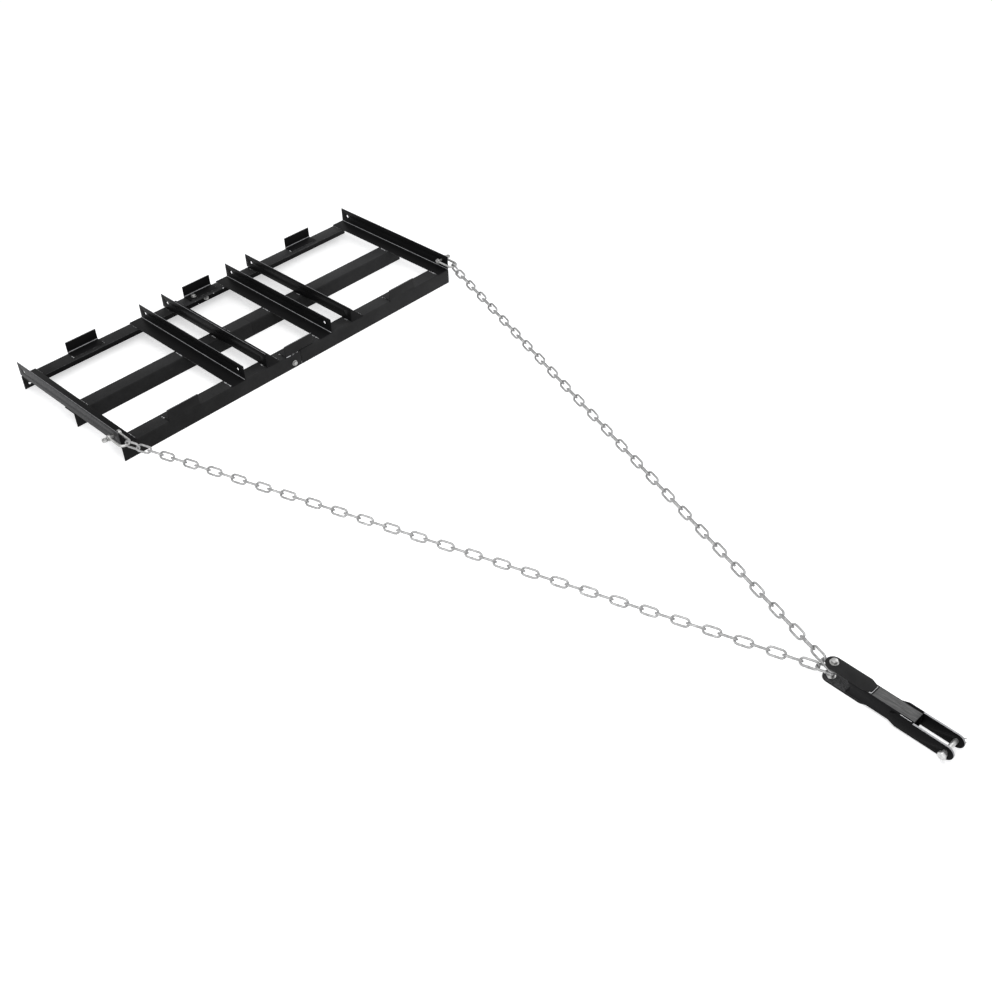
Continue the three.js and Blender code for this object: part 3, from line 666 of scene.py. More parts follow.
class Fastener:
    """Hex bolts, nuts and washers, made along +Z with the seat at zero."""

    CROWN = 0.96
    SLOPE = 1.6
    RIDGE = 0.45
    SNUG = 0.2 * MM
    LOOSE = 0.3 * MM
    SINK = 0.1 * MM

    @staticmethod
    def washer(outer: float, inner: float, height: float) -> Solid:
        """A flat washer with broken edges standing on zero."""
        edge = height * 0.2
        return Solid().add_ring([(inner, 0), (outer - edge, 0), (outer, edge), (outer, height - edge),
                                 (outer - edge, height), (inner, height)])

    @staticmethod
    def hexagon(flats: float, low: float, high: float, domed: bool = True) -> Solid:
        """A hexagon with its corners turned off.

        Args:
            flats: Width across flats.
            low: Underside.
            high: Top.
            domed: Whether the top corners are turned off.

        Returns:
            The solid.
        """
        across = flats / math.cos(math.pi / 6) / 2
        solid = Solid().add_rod(across, low, high, segments=6)
        if domed:
            reach, tip = (high - low) * 2, flats / 2 * Fastener.CROWN
            crown = Solid().add_rod(tip + reach * Fastener.SLOPE, high - reach, high, segments=48, tip=tip)
            solid = solid.combine(crown, "INTERSECT")
        return solid

    @staticmethod
    def thread(radius: float, low: float, high: float, pitch: float) -> Solid:
        """A threaded shank.

        Args:
            radius: Outer radius.
            low: Free end.
            high: End under the head.
            pitch: Height of one ridge.

        Returns:
            The solid.
        """
        depth = pitch * Fastener.RIDGE
        turns = max(1, int((high - low) / pitch))
        profile = [(0.0, low), (radius - depth, low)]
        for i in range(turns):
            base = low + i * pitch
            profile += [(radius, base + pitch * 0.5), (radius - depth, base + pitch)]
        profile += [(radius, low + turns * pitch + pitch * 0.3)] if high - low > (turns + 0.3) * pitch else []
        profile += [(radius, high), (0.0, high)]
        return Solid().add_ring(profile, steps=28)

    @staticmethod
    def nut(flats: float, bolt: float, low: float, high: float) -> Solid:
        """A bored hexagon.

        Args:
            flats: Width across flats.
            bolt: Diameter of its bolt.
            low: Underside, at the top of its washer.
            high: Top.

        Returns:
            The solid.
        """
        bore = Solid().add_rod(bolt / 2 + Fastener.LOOSE, 0, high * 2)
        return Fastener.hexagon(flats, low, high).combine(bore, "DIFFERENCE")


@dataclass
class Welds:
    """Short fillet welds, laid as rippled beads."""

    radius: float = 2.6 * MM
    pitch: float = 2.4 * MM
    sides: int = 8
    tip: float = 0.5
    swell: float = 0.25
    valley: float = 0.86

    def bead(self, start: Vector, end: Vector, radius: Optional[float] = None,
             via: Sequence[Vector] = ()) -> Solid:
        """One bead between two points.

        Args:
            start: First end.
            end: Second end.
            radius: Thickness, or None for the usual one.
            via: Corners that it passes on the way.

        Returns:
            The closed bead.
        """
        corners = [start, *via, end]
        path = [start]
        for a, b in zip(corners, corners[1:]):
            steps = max(2 if via else 5, int((b - a).length / self.pitch * 2))
            path += [a + (b - a) * (i / steps) for i in range(1, steps + 1)]
        rings = len(path) - 1
        shares = [min(1.0, self.tip + self.swell * min(i, rings - i)) * (1.0 if i % 2 else self.valley)
                  for i in range(rings + 1)]
        return Solid().add_wire(path, radius or self.radius, self.sides, shares)

    def lay(self, solid: Solid, start: Spot, end: Spot, radius: Optional[float] = None) -> None:
        """Lays a straight bead into a solid."""
        solid.join(self.bead(Vector(start), Vector(end), radius))


@dataclass
class AngleStock:
    """Pressed steel angle with a rounded bend and broken edges."""

    leg: float = 63.5 * MM
    wall: float = 3.2 * MM
    bend: float = 6.0 * MM
    bend_steps: int = 5
    edge: float = 0.55 * MM
    # The blade-end and inner-bend marks are painted highlights, where upright tops and bends catch light.
    blade_wear: float = 0.62
    flange_wear: float = 0.42
    bend_wear: float = 0.68
    corner_wear: float = 0.3

    def bar(self, length: float, flange: Optional[float] = None, blade: Optional[float] = None,
            wall: Optional[float] = None, bend: Optional[float] = None) -> Solid:
        """A length of angle from x = 0, its flange on top along +Y and its blade hanging at y = 0.

        Args:
            length: Length along X.
            flange: Width of the flange, or None for the stock leg.
            blade: Depth of the blade, or None for the stock leg.
            wall: Thickness, or None for the stock wall.
            bend: Outer radius of the bend, or None for the stock bend.

        Returns:
            The solid, its edges still sharp.
        """
        wide, deep = flange or self.leg, blade or self.leg
        thick, outer = wall or self.wall, bend or self.bend
        corners = [(0, -deep), (0, 0), (wide, 0), (wide, -thick), (thick, -thick), (thick, -deep)]
        solid = Solid().add_plate(corners, 0, length)
        solid.move(Matrix(((0, 0, 1, 0), (1, 0, 0, 0), (0, 1, 0, 0), (0, 0, 0, 1))))
        for place, radius in (((0, 0), outer), ((thick, -thick), outer - thick)):
            line = [e for e in solid.bm.edges
                    if all(math.dist(v.co.yz, place) < MERGE for v in e.verts)]
            turned = solid.bevel(line, radius, self.bend_steps)
            turned = [f for f in turned if abs(abs(f.normal.y) - abs(f.normal.z)) < 0.75]
            # The inner bend is lightened as a painted highlight.
            solid.mark(turned, self.bend_wear if radius < outer else 0.0)
        solid.bm.normal_update()
        # The blade's end face, the upright's top on a cross bar, is lightened as a painted highlight.
        solid.mark([f for f in solid.bm.faces if f.normal.z < -0.9 and f.calc_center_median().z < -deep / 2],
                   self.blade_wear)
        return solid.mark([f for f in solid.bm.faces if f.normal.y > 0.9
                           and f.calc_center_median().y > wide / 2], self.flange_wear)


@dataclass
class ScraperFrame:
    """Rails, cross bars, weight tabs, splices and their welds, all on one body.

    A bead's run is held as its two ends from the blade's face, a spot as its share of the tab's
    length and half its own.
    """

    ENDS = (("rear", 1), ("front", -1))
    PLACES = ("right", "centre", "left")

    palette: Palette
    body: str = "frame"
    stock: AngleStock = field(default_factory=AngleStock)
    welds: Welds = field(default_factory=Welds)
    depth: float = 685.8 * MM
    seat: float = 63.8 * MM
    bar_hole: float = 12.7 * MM
    bar_hole_inset: float = 38.1 * MM
    bar_hole_height: float = 98.8 * MM
    blade_hole_inset: float = 25.4 * MM
    blade_hole_height: float = 19.0 * MM
    drill: float = 20 * MM
    tab_wall: float = 4.8 * MM
    tab_bend: float = 8.0 * MM
    splice_offset: float = 36.0 * MM
    blade_bolt_height: float = 22.0 * MM
    flange_bolt_inset: float = 32.0 * MM
    bolt: float = 10.0 * MM
    bolt_flats: float = 16.0 * MM
    bolt_head: Spot = (2 * MM, 8.4 * MM)
    bolt_end: float = 13.3 * MM
    bolt_pitch: float = 1.5 * MM
    bolt_edge: float = 0.25 * MM
    nut: Spot = (2 * MM, 10 * MM)
    washer: Spot = (11.5 * MM, 1.9 * MM)
    grip: float = 8.6 * MM
    gap: float = 0.3 * MM
    seam: float = 2.4 * MM
    seam_inset: float = 0.15 * MM
    # Painted sheen on the outer bars' standing faces, the pairs' standing faces and the rail tops.
    outer_veil: float = 0.9
    pair_veil: float = 0.0
    rail_veil: float = 0.2
    sink: float = 0.2 * MM
    bar_bead: Spot = (9 * MM, 52 * MM)
    heel_bead: float = 12 * MM
    pair_reach: float = 0.5
    tab_bead: Spot = (30 * MM, 48 * MM)
    base_spots: Sequence[Spot] = ((0.12, 7 * MM), (0.82, 7 * MM))
    face_spots: Sequence[Spot] = ((0.60, 5 * MM), (0.74, 9 * MM), (0.90, 12 * MM))
    filled: float = 0.55

    @property
    def rear(self) -> float:
        """Y of the rear blade's back face."""
        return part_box("rear_rail_right")[0].y

    def build(self) -> None:
        """Builds every piece of the frame."""
        for rail, face, forward in self.rails():
            for side in Side:
                self.rail(rail, face, forward, side)
        for name, x, flat in self.bars():
            self.cross_bar(name, x, flat)
        for end, forward in self.ENDS:
            for place in self.PLACES:
                self.tab(end, forward, place)
            self.splice_bolts(end, forward)
        self.bar_welds()
        self.tab_welds()
        self.splice_welds()
        self.tab_fill()
        self.middle_seam()
        self.dress_splices()

    def rails(self) -> list[tuple[str, float, int]]:
        """Name, Y of the blade's outer face and flange direction of each rail."""
        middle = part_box("middle_rail_right")[1].y
        return [("rear", self.rear, 1), ("middle", middle, -1), ("front", self.rear + self.depth, -1)]

    def bars(self) -> list[tuple[str, float, int]]:
        """Name, X of the standing face and flange direction of each cross bar."""
        found = []
        for side in Side:
            for name, flat in (("outer_bar", -1), ("pair_far_bar", 1), ("pair_near_bar", -1)):
                node = f"{name}_{side.word}"
                low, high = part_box(node)
                turned = flat * side.value
                found.append((node, low.x if turned > 0 else high.x, turned))
        return found

    def tabs(self) -> list[tuple[str, int, str, Vector, Vector]]:
        """End, base direction, place and box of each weight tab."""
        return [(end, forward, place, *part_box(f"{end}_weight_tab_{place}"))
                for end, forward in self.ENDS for place in self.PLACES]

    def skin(self, solid: Solid, node: str, material: Material, slot: Slot = Slot.PAINT) -> None:
        """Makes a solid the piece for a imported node."""
        solid.piece(f"skin_{node}", material, self.body, slot, [node])

    def hole(self, solid: Solid, axis: Axis, centre: Spot) -> Solid:
        """Drills one of the frame's round holes, the solid being used up."""
        drill = Solid().add_rod(self.bar_hole / 2, -self.drill, self.drill, axis, centre, 36)
        return solid.combine(drill, "DIFFERENCE")

    def rail(self, rail: str, face: float, forward: int, side: Side) -> None:
        """Builds one half of a rail.

        Args:
            rail: Which rail.
            face: Y of the blade's outer face.
            forward: Direction of the flange along Y.
            side: Which half.
        """
        node = f"{rail}_rail_{side.word}"
        low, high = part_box(node)
        solid = self.stock.bar(high.x - low.x)
        # Rail tops lightened by a painted sheen.
        solid.mark([f for f in solid.bm.faces if f.normal.z > 0.9], self.rail_veil, GLOSS_AND_SHEEN)
        solid.move(Matrix.Translation((low.x, face, high.z)) @ Matrix.Diagonal((1, forward, 1, 1)))
        if rail == "rear" and side is Side.RIGHT:
            solid = self.hole(solid, Axis.Y, (high.x - self.blade_hole_inset, face, self.blade_hole_height))
        solid.soften(self.stock.edge, worn=self.stock.corner_wear)
        self.skin(solid, node, self.palette.rail_paint)

    def cross_bar(self, node: str, x: float, flat: int) -> None:
        """Builds a cross bar.

        Args:
            node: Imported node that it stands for.
            x: X of the standing face.
            flat: Direction of the flat flange along X.
        """
        solid = self.stock.bar(self.depth)
        # Standing face lightened by a painted sheen, mostly on the outer bars.
        painted_sheen = self.outer_veil if node.startswith("outer") else self.pair_veil
        solid.mark([f for f in solid.bm.faces if f.normal.y < -0.9], painted_sheen, GLOSS_AND_SHEEN)
        solid.move(Matrix(((0, flat, 0, x), (1, 0, 0, self.rear), (0, 0, -1, self.seat), (0, 0, 0, 1))))
        for inset in (self.bar_hole_inset, self.depth - self.bar_hole_inset):
            solid = self.hole(solid, Axis.X, (x, self.rear + inset, self.bar_hole_height))
        solid.soften(self.stock.edge, worn=self.stock.corner_wear)
        self.skin(solid, node, self.palette.paint)

    def tab(self, end: str, forward: int, place: str) -> None:
        """Builds a weight tab.

        Args:
            end: Rear or front.
            forward: Direction of its base along Y.
            place: Right, centre or left.
        """
        node = f"{end}_weight_tab_{place}"
        low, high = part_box(node)
        solid = self.stock.bar(high.x - low.x, high.y - low.y, high.z - low.z, self.tab_wall, self.tab_bend)
        face = low.y if forward > 0 else high.y
        solid.move(Matrix.Translation((low.x, face, low.z)) @ Matrix.Diagonal((1, forward, -1, 1)))
        solid.soften(self.stock.edge, worn=self.stock.corner_wear)
        self.skin(solid, node, self.palette.rail_paint if end == "front" else self.palette.paint)

    def splice_bolts(self, end: str, forward: int) -> None:
        """Builds the two bolts and nuts of one splice.

        Args:
            end: Rear or front.
            forward: Direction of the rail's flange along Y.
        """
        face = self.rear if forward > 0 else self.rear + self.depth
        x, zinc = -forward * self.splice_offset, self.palette.plated
        through = Matrix.Translation((x, face - forward * self.gap, self.blade_bolt_height)) \
            @ Matrix.Rotation(forward * math.pi / 2, 4, "X")
        down = Matrix.Translation((-x, face + forward * self.flange_bolt_inset,
                                   self.seat + self.tab_wall + self.gap))
        flange_grip = self.grip + self.tab_wall + self.gap
        for kind, place, grip in (("blade", through, self.grip), ("flange", down, flange_grip)):
            self.skin(self.bolt_solid(grip).move(place), f"{end}_{kind}_bolt", zinc, Slot.ZINC)
            under = Matrix.Translation((0, 0, -grip - self.gap)) @ Matrix.Rotation(math.pi, 4, "X")
            self.skin(self.nut_solid().move(place @ under), f"{end}_{kind}_nut", zinc, Slot.ZINC)

    def bolt_solid(self, grip: float) -> Solid:
        """A splice bolt with its washer, seated at zero with the head up."""
        head = Fastener.hexagon(self.bolt_flats, *self.bolt_head).soften(self.bolt_edge)
        head.join(Fastener.washer(self.washer[0], self.bolt / 2 + Fastener.SNUG, self.washer[1]))
        return head.join(Fastener.thread(self.bolt / 2, -grip - self.bolt_end,
                                         self.bolt_head[0] + Fastener.SINK, self.bolt_pitch))

    def nut_solid(self) -> Solid:
        """A splice nut with its washer, seated at zero."""
        nut = Fastener.nut(self.bolt_flats, self.bolt, *self.nut).soften(self.bolt_edge)
        return nut.join(Fastener.washer(self.washer[0], self.bolt / 2 + Fastener.LOOSE, self.washer[1]))

    def bar_welds(self) -> None:
        """Welds each cross bar to each rail along the free edge of its flange and at its heel."""
        low = self.seat - self.sink
        for name, face, forward in self.rails():
            solid = Solid()
            start, end = sorted(face + forward * run for run in self.bar_bead)
            middle = (start + end) / 2
            for _, x, flat in self.bars():
                free, heel = x + flat * (self.stock.leg + 1.0 * MM), x - flat * 0.9 * MM
                self.welds.lay(solid, (free, start, low), (free, end, low))
                if abs(x) < self.pair_reach:
                    self.welds.lay(solid, (heel, middle - self.heel_bead, low),
                                   (heel, middle + self.heel_bead, low))
            finish = self.palette.dull_weld if name == "rear" else self.palette.weld
            solid.piece(f"{name}_bar_welds", finish, self.body, Slot.PAINT)

    def tab_welds(self) -> None:
        """Welds each tab at the ends of its base, the front ones in spots along their edges too."""
        solid, low = Solid(), self.seat - self.sink
        for end, forward, place, first, last in self.tabs():
            outer, inner = (first.y, last.y) if forward > 0 else (last.y, first.y)
            start, stop = sorted(outer + forward * run for run in self.tab_bead)
            ends = (first.x - 0.9 * MM, last.x + 0.9 * MM)
            for x in ends[:1] if (end, place) == ("rear", "centre") else ends:
                self.welds.lay(solid, (x, start, low), (x, stop, low), 3.0 * MM)
            rows = []
            if (end, place) == ("front", "centre"):
                rows.append((self.face_spots, outer - 0.4 * MM, 2.2 * MM))
            if end == "front":
                rows.append((self.base_spots, inner + forward * 0.8 * MM, 2.8 * MM))
            for spots, y, radius in rows:
                for share, half in spots:
                    x = first.x + (last.x - first.x) * share
                    self.welds.lay(solid, (x - half, y, low), (x + half, y, low), radius)
        solid.piece("weight_tab_welds", self.palette.weld, self.body, Slot.PAINT)

    def splice_welds(self) -> None:
        """Tacks the rear splice angle to the inner edge of the rail's flange in two spots."""
        solid = Solid()
        y = self.rear + self.stock.leg + 0.4 * MM
        for x, size, drop in ((-95 * MM, 3.0 * MM, 1.5 * MM), (-43 * MM, 2.2 * MM, 3.0 * MM)):
            self.welds.lay(solid, (x - size, y, self.seat - drop), (x + size, y, self.seat - drop), size)
        solid.piece("rear_splice_welds", self.palette.bracket_weld, self.body, Slot.PAINT)

    def tab_fill(self) -> None:
        """Fills the groove below each tab's face and grinds it flush, half of it at the front centre."""
        solid, edge = Solid(), self.stock.edge
        top, low, deep = self.tab_bend, -self.stock.bend, self.stock.bend * 0.7
        section = [(0, low), (0, top), (-deep * 0.3, top * 0.4), (-deep, self.sink),
                   (-deep * 0.3, low * 0.4)]
        for end, forward, place, first, last in self.tabs():
            outer = first.y if forward > 0 else last.y
            short = (last.x - first.x) * self.filled if (end, place) == ("front", "centre") else 0.0
            fill = Solid().add_plate(section, first.x + short + edge, last.x - edge)
            fill.move(Matrix(((0, 0, 1, 0), (-forward, 0, 0, outer), (0, 1, 0, self.seat), (0, 0, 0, 1))))
            solid.join(fill)
        solid.piece("weight_tab_fill", self.palette.rail_paint, self.body, Slot.PAINT)

    def middle_seam(self) -> None:
        """Closes the seam of the middle rail from below with a dark backing strip that stands in for the
        seam's shade.
        """
        stock, inset = self.stock, self.seam_inset
        low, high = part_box("middle_rail_right")
        leg = stock.leg - 2 * inset
        solid = stock.bar(self.seam, leg, leg, stock.wall - 2 * inset, stock.bend - inset)
        place = Matrix.Translation((low.x - self.seam, high.y - inset, high.z - inset))
        solid.move(place @ Matrix.Diagonal((1, -1, 1, 1)))
        solid.piece("middle_rail_seam", self.palette.rail_paint, self.body, Slot.PAINT)

    def dress_splices(self) -> None:
        """Paints the two splice angles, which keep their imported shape."""
        for end, _ in self.ENDS:
            node = frame["nodes"][f"{end}_splice_angle"]
            node.data.materials.clear()
            node.data.materials.append(self.palette.paint)
            LOG.info("%s: packed node dressed", node.name)


@dataclass
class Shackle:
    """Bow shackle with its screw pin at one front corner."""

    palette: Palette
    side: Side
    wire: float = 10.0 * MM
    spread: float = 42.0 * MM
    reach: float = 58.5 * MM
    ear: float = 24.0 * MM
    ear_lap: float = 0.02 * MM
    ear_round: float = 1.6 * MM
    pin: float = 12.0 * MM
    gap: float = 0.3 * MM
    pin_end: float = 3 * MM
    collar: Spot = (9 * MM, 4 * MM)
    eye: Spot = (11 * MM, 3.5 * MM)
    eye_hole: float = 4 * MM

    def frame_matrix(self) -> Matrix:
        """Place of the shackle: origin on the pin, +Y towards the chain."""
        pivot, swivel = hinge(f"shackle_swing_{self.side.word}"), hinge("bracket_swivel")
        pitch = math.asin((swivel.z - pivot.z) / math.hypot(swivel.y - pivot.y, swivel.z - pivot.z))
        return Matrix.Translation(pivot) @ Matrix.Rotation(pitch, 4, "X")

    def build(self) -> None:
        """Builds the bow and the pin."""
        word, place = self.side.word, self.frame_matrix()
        mirror = Matrix.Diagonal((self.side.value, 1, 1, 1))
        for kind, solid, move in (("bow", self.bow(), place), ("pin", self.screw_pin(), place @ mirror)):
            node = f"shackle_{kind}_{word}"
            solid.move(move).piece(f"skin_{node}", self.palette.plated, f"shackle_{word}", Slot.ZINC, [node])

    def bow(self) -> Solid:
        """The bent bow with its two eyes."""
        solid = Solid()
        radius = self.spread / 2
        made = bmesh.ops.create_circle(solid.bm, cap_ends=True, segments=16, radius=self.wire / 2)
        turn = Matrix.Translation((radius, 0, 0)) @ Axis.Y.value
        bmesh.ops.transform(solid.bm, matrix=turn, verts=made["verts"])
        face = solid.grow(made["verts"][0].link_faces[0])
        bmesh.ops.translate(solid.bm, vec=(0, self.reach, 0), verts=face.verts[:])
        spun = bmesh.ops.spin(solid.bm, geom=[face, *face.edges], cent=(0, self.reach, 0),
                              axis=(0, 0, 1), dvec=(0, 0, 0), angle=math.pi, steps=20,
                              use_duplicate=False)
        face = solid.grow(next(g for g in spun["geom_last"] if isinstance(g, bmesh.types.BMFace)))
        bmesh.ops.translate(solid.bm, vec=(0, -self.reach, 0), verts=face.verts[:])
        bmesh.ops.recalc_face_normals(solid.bm, faces=solid.bm.faces[:])
        bore, half, outer = self.pin / 2 + self.gap, self.wire / 2 + self.ear_lap, self.ear / 2
        flat, slope = self.ear_round, self.ear_round * 0.3
        rim = [(outer - flat, half), (outer - slope, half - slope), (outer, half - flat)]
        profile = [(0.0, -half), *((r, -h) for r, h in rim), *reversed(rim), (0.0, half)]
        for x in (radius, -radius):
            solid = solid.combine(Solid().add_ring(profile, Axis.X, (x, 0, 0), 40), "UNION")
        bores = Solid().add_rod(bore, -self.spread, self.spread, Axis.X, (0, 0, 0), 40)
        return solid.combine(bores, "DIFFERENCE").soften(0.3 * MM, 1, 60)

    def screw_pin(self) -> Solid:
        """The pin, its eye towards +X."""
        face = self.spread / 2 + self.wire / 2
        start, (wide, high), (round_, half) = face + self.gap, self.collar, self.eye
        solid = Solid().add_rod(self.pin / 2, -face - self.pin_end, start + high / 2, Axis.X,
                                segments=36, chamfer=0.6 * MM)
        collar = Solid().add_rod(wide, start, start + high, Axis.X, segments=40, chamfer=0.5 * MM)
        middle = (start + high / 2 + round_, 0, 0)
        eye = Solid().add_rod(round_, -half, half, Axis.Z, middle, 40, 1.2 * MM)
        solid = solid.combine(collar, "UNION").combine(eye, "UNION")
        hole = Solid().add_rod(self.eye_hole, -wide, wide, Axis.Z, middle, 32)
        return solid.combine(hole, "DIFFERENCE").soften(0.3 * MM, 1, 60)


@dataclass
class TowChain:
    """One galvanised chain, link by link, in the runs that the joints bend."""

    palette: Palette
    side: Side
    wire: float = 7.9 * MM
    width: float = 33.0 * MM
    inner: float = 49.5 * MM
    links: int = 51
    runs: int = 8
    run_gap: float = 0.4 * MM
    bow_gap: float = 0.95 * MM
    stack: float = 4.75 * MM
    lie: float = -math.pi / 4
    twist_start: int = 2
    twist_end: int = 2
    slack: float = 0.15 * MM
    butt: Sequence[Spot] = ((3.2 * MM, 1.0), (1.4 * MM, 1.13), (-1.4 * MM, 1.13), (-3.2 * MM, 1.0))

    def roll(self, index: int) -> float:
        """Roll of a link about the chain, in radians."""
        from_end = self.links - 1 - index
        lie = self.lie
        if index < self.twist_start:
            lie = self.lie * index / self.twist_start
        if from_end < self.twist_end:
            lie = 2 * self.lie - self.lie * from_end / self.twist_end
        return math.pi / 2 - lie + (index % 2) * math.pi / 2

    def first(self, run: int) -> int:
        """Number of a run's first link."""
        return run * self.links // self.runs

    def link(self, inner: float) -> Solid:
        """One link about its middle, long way along Y, with its butt weld on one side.

        Args:
            inner: Inside length.

        Returns:
            The closed link.
        """
        solid = Solid()
        radius = (self.width - self.wire) / 2
        straight = inner / 2 + self.wire / 2 - radius
        made = bmesh.ops.create_circle(solid.bm, cap_ends=False, segments=10, radius=self.wire / 2)
        turn = Matrix.Translation((radius, straight, 0)) @ Axis.Y.value
        bmesh.ops.transform(solid.bm, matrix=turn, verts=made["verts"])
        first = solid.bm.edges[:]
        spun = bmesh.ops.spin(solid.bm, geom=first, cent=(0, straight, 0), axis=(0, 0, 1),
                              dvec=(0, 0, 0), angle=math.pi, steps=7, use_duplicate=False)
        ring = [g for g in spun["geom_last"] if isinstance(g, bmesh.types.BMEdge)]
        at, before = straight, 1.0
        for y, size in (*self.butt, (-straight, 1.0)):
            grown = bmesh.ops.extrude_edge_only(solid.bm, edges=ring)
            ring = [g for g in grown["geom"] if isinstance(g, bmesh.types.BMEdge)]
            verts = once(v for e in ring for v in e.verts)
            bmesh.ops.translate(solid.bm, vec=(0, y - at, 0), verts=verts)
            bmesh.ops.scale(solid.bm, vec=(size / before, 1, size / before),
                            space=Matrix.Translation((radius, -y, 0)), verts=verts)
            at, before = y, size
        spun = bmesh.ops.spin(solid.bm, geom=ring, cent=(0, -straight, 0), axis=(0, 0, 1),
                              dvec=(0, 0, 0), angle=math.pi, steps=7, use_duplicate=False)
        last = [g for g in spun["geom_last"] if isinstance(g, bmesh.types.BMEdge)]
        bmesh.ops.bridge_loops(solid.bm, edges=first + last)
        bmesh.ops.remove_doubles(solid.bm, verts=solid.bm.verts[:], dist=MERGE)
        bmesh.ops.recalc_face_normals(solid.bm, faces=solid.bm.faces[:])
        return solid

    def build(self) -> None:
        """Builds every run."""
        hooks = [hinge(f"chain_{self.side.word}_flex_{k + 1}") for k in range(self.runs)]
        bolt = hinge("bracket_swivel") - Vector((0, 0, self.side.value * self.stack))
        spacing = self.spacing(hooks)
        for run in range(self.runs):
            end = hooks[run + 1] if run + 1 < self.runs else bolt
            along = (end - hooks[run]).normalized()
            across = along.cross(Vector((0, 0, 1))).normalized()
            basis = Matrix((across, along, across.cross(along))).transposed().to_4x4()
            gap = self.run_gap if run else self.bow_gap
            offset = (self.inner - gap) / 2
            solid = Solid()
            for index in range(self.first(run), self.first(run + 1)):
                link = self.link(spacing - self.slack)
                middle = hooks[run] + along * (offset + spacing * (index - self.first(run)))
                link.move(Matrix.Translation(middle) @ basis @ Matrix.Rotation(self.roll(index), 4, "Y"))
                solid.join(link)
            name = f"chain_{self.side.word}_run_{run + 1}"
            solid.piece(f"links_{name}", self.palette.chain, name, Slot.ZINC, [name], 180.0)

    def spacing(self, hooks: list[Vector]) -> float:
        """Distance from link to link within a run, from the first two hooks of equal runs."""
        count = self.first(2) - self.first(1)
        return ((hooks[2] - hooks[1]).length - (self.inner - self.run_gap)) / (count - 1)


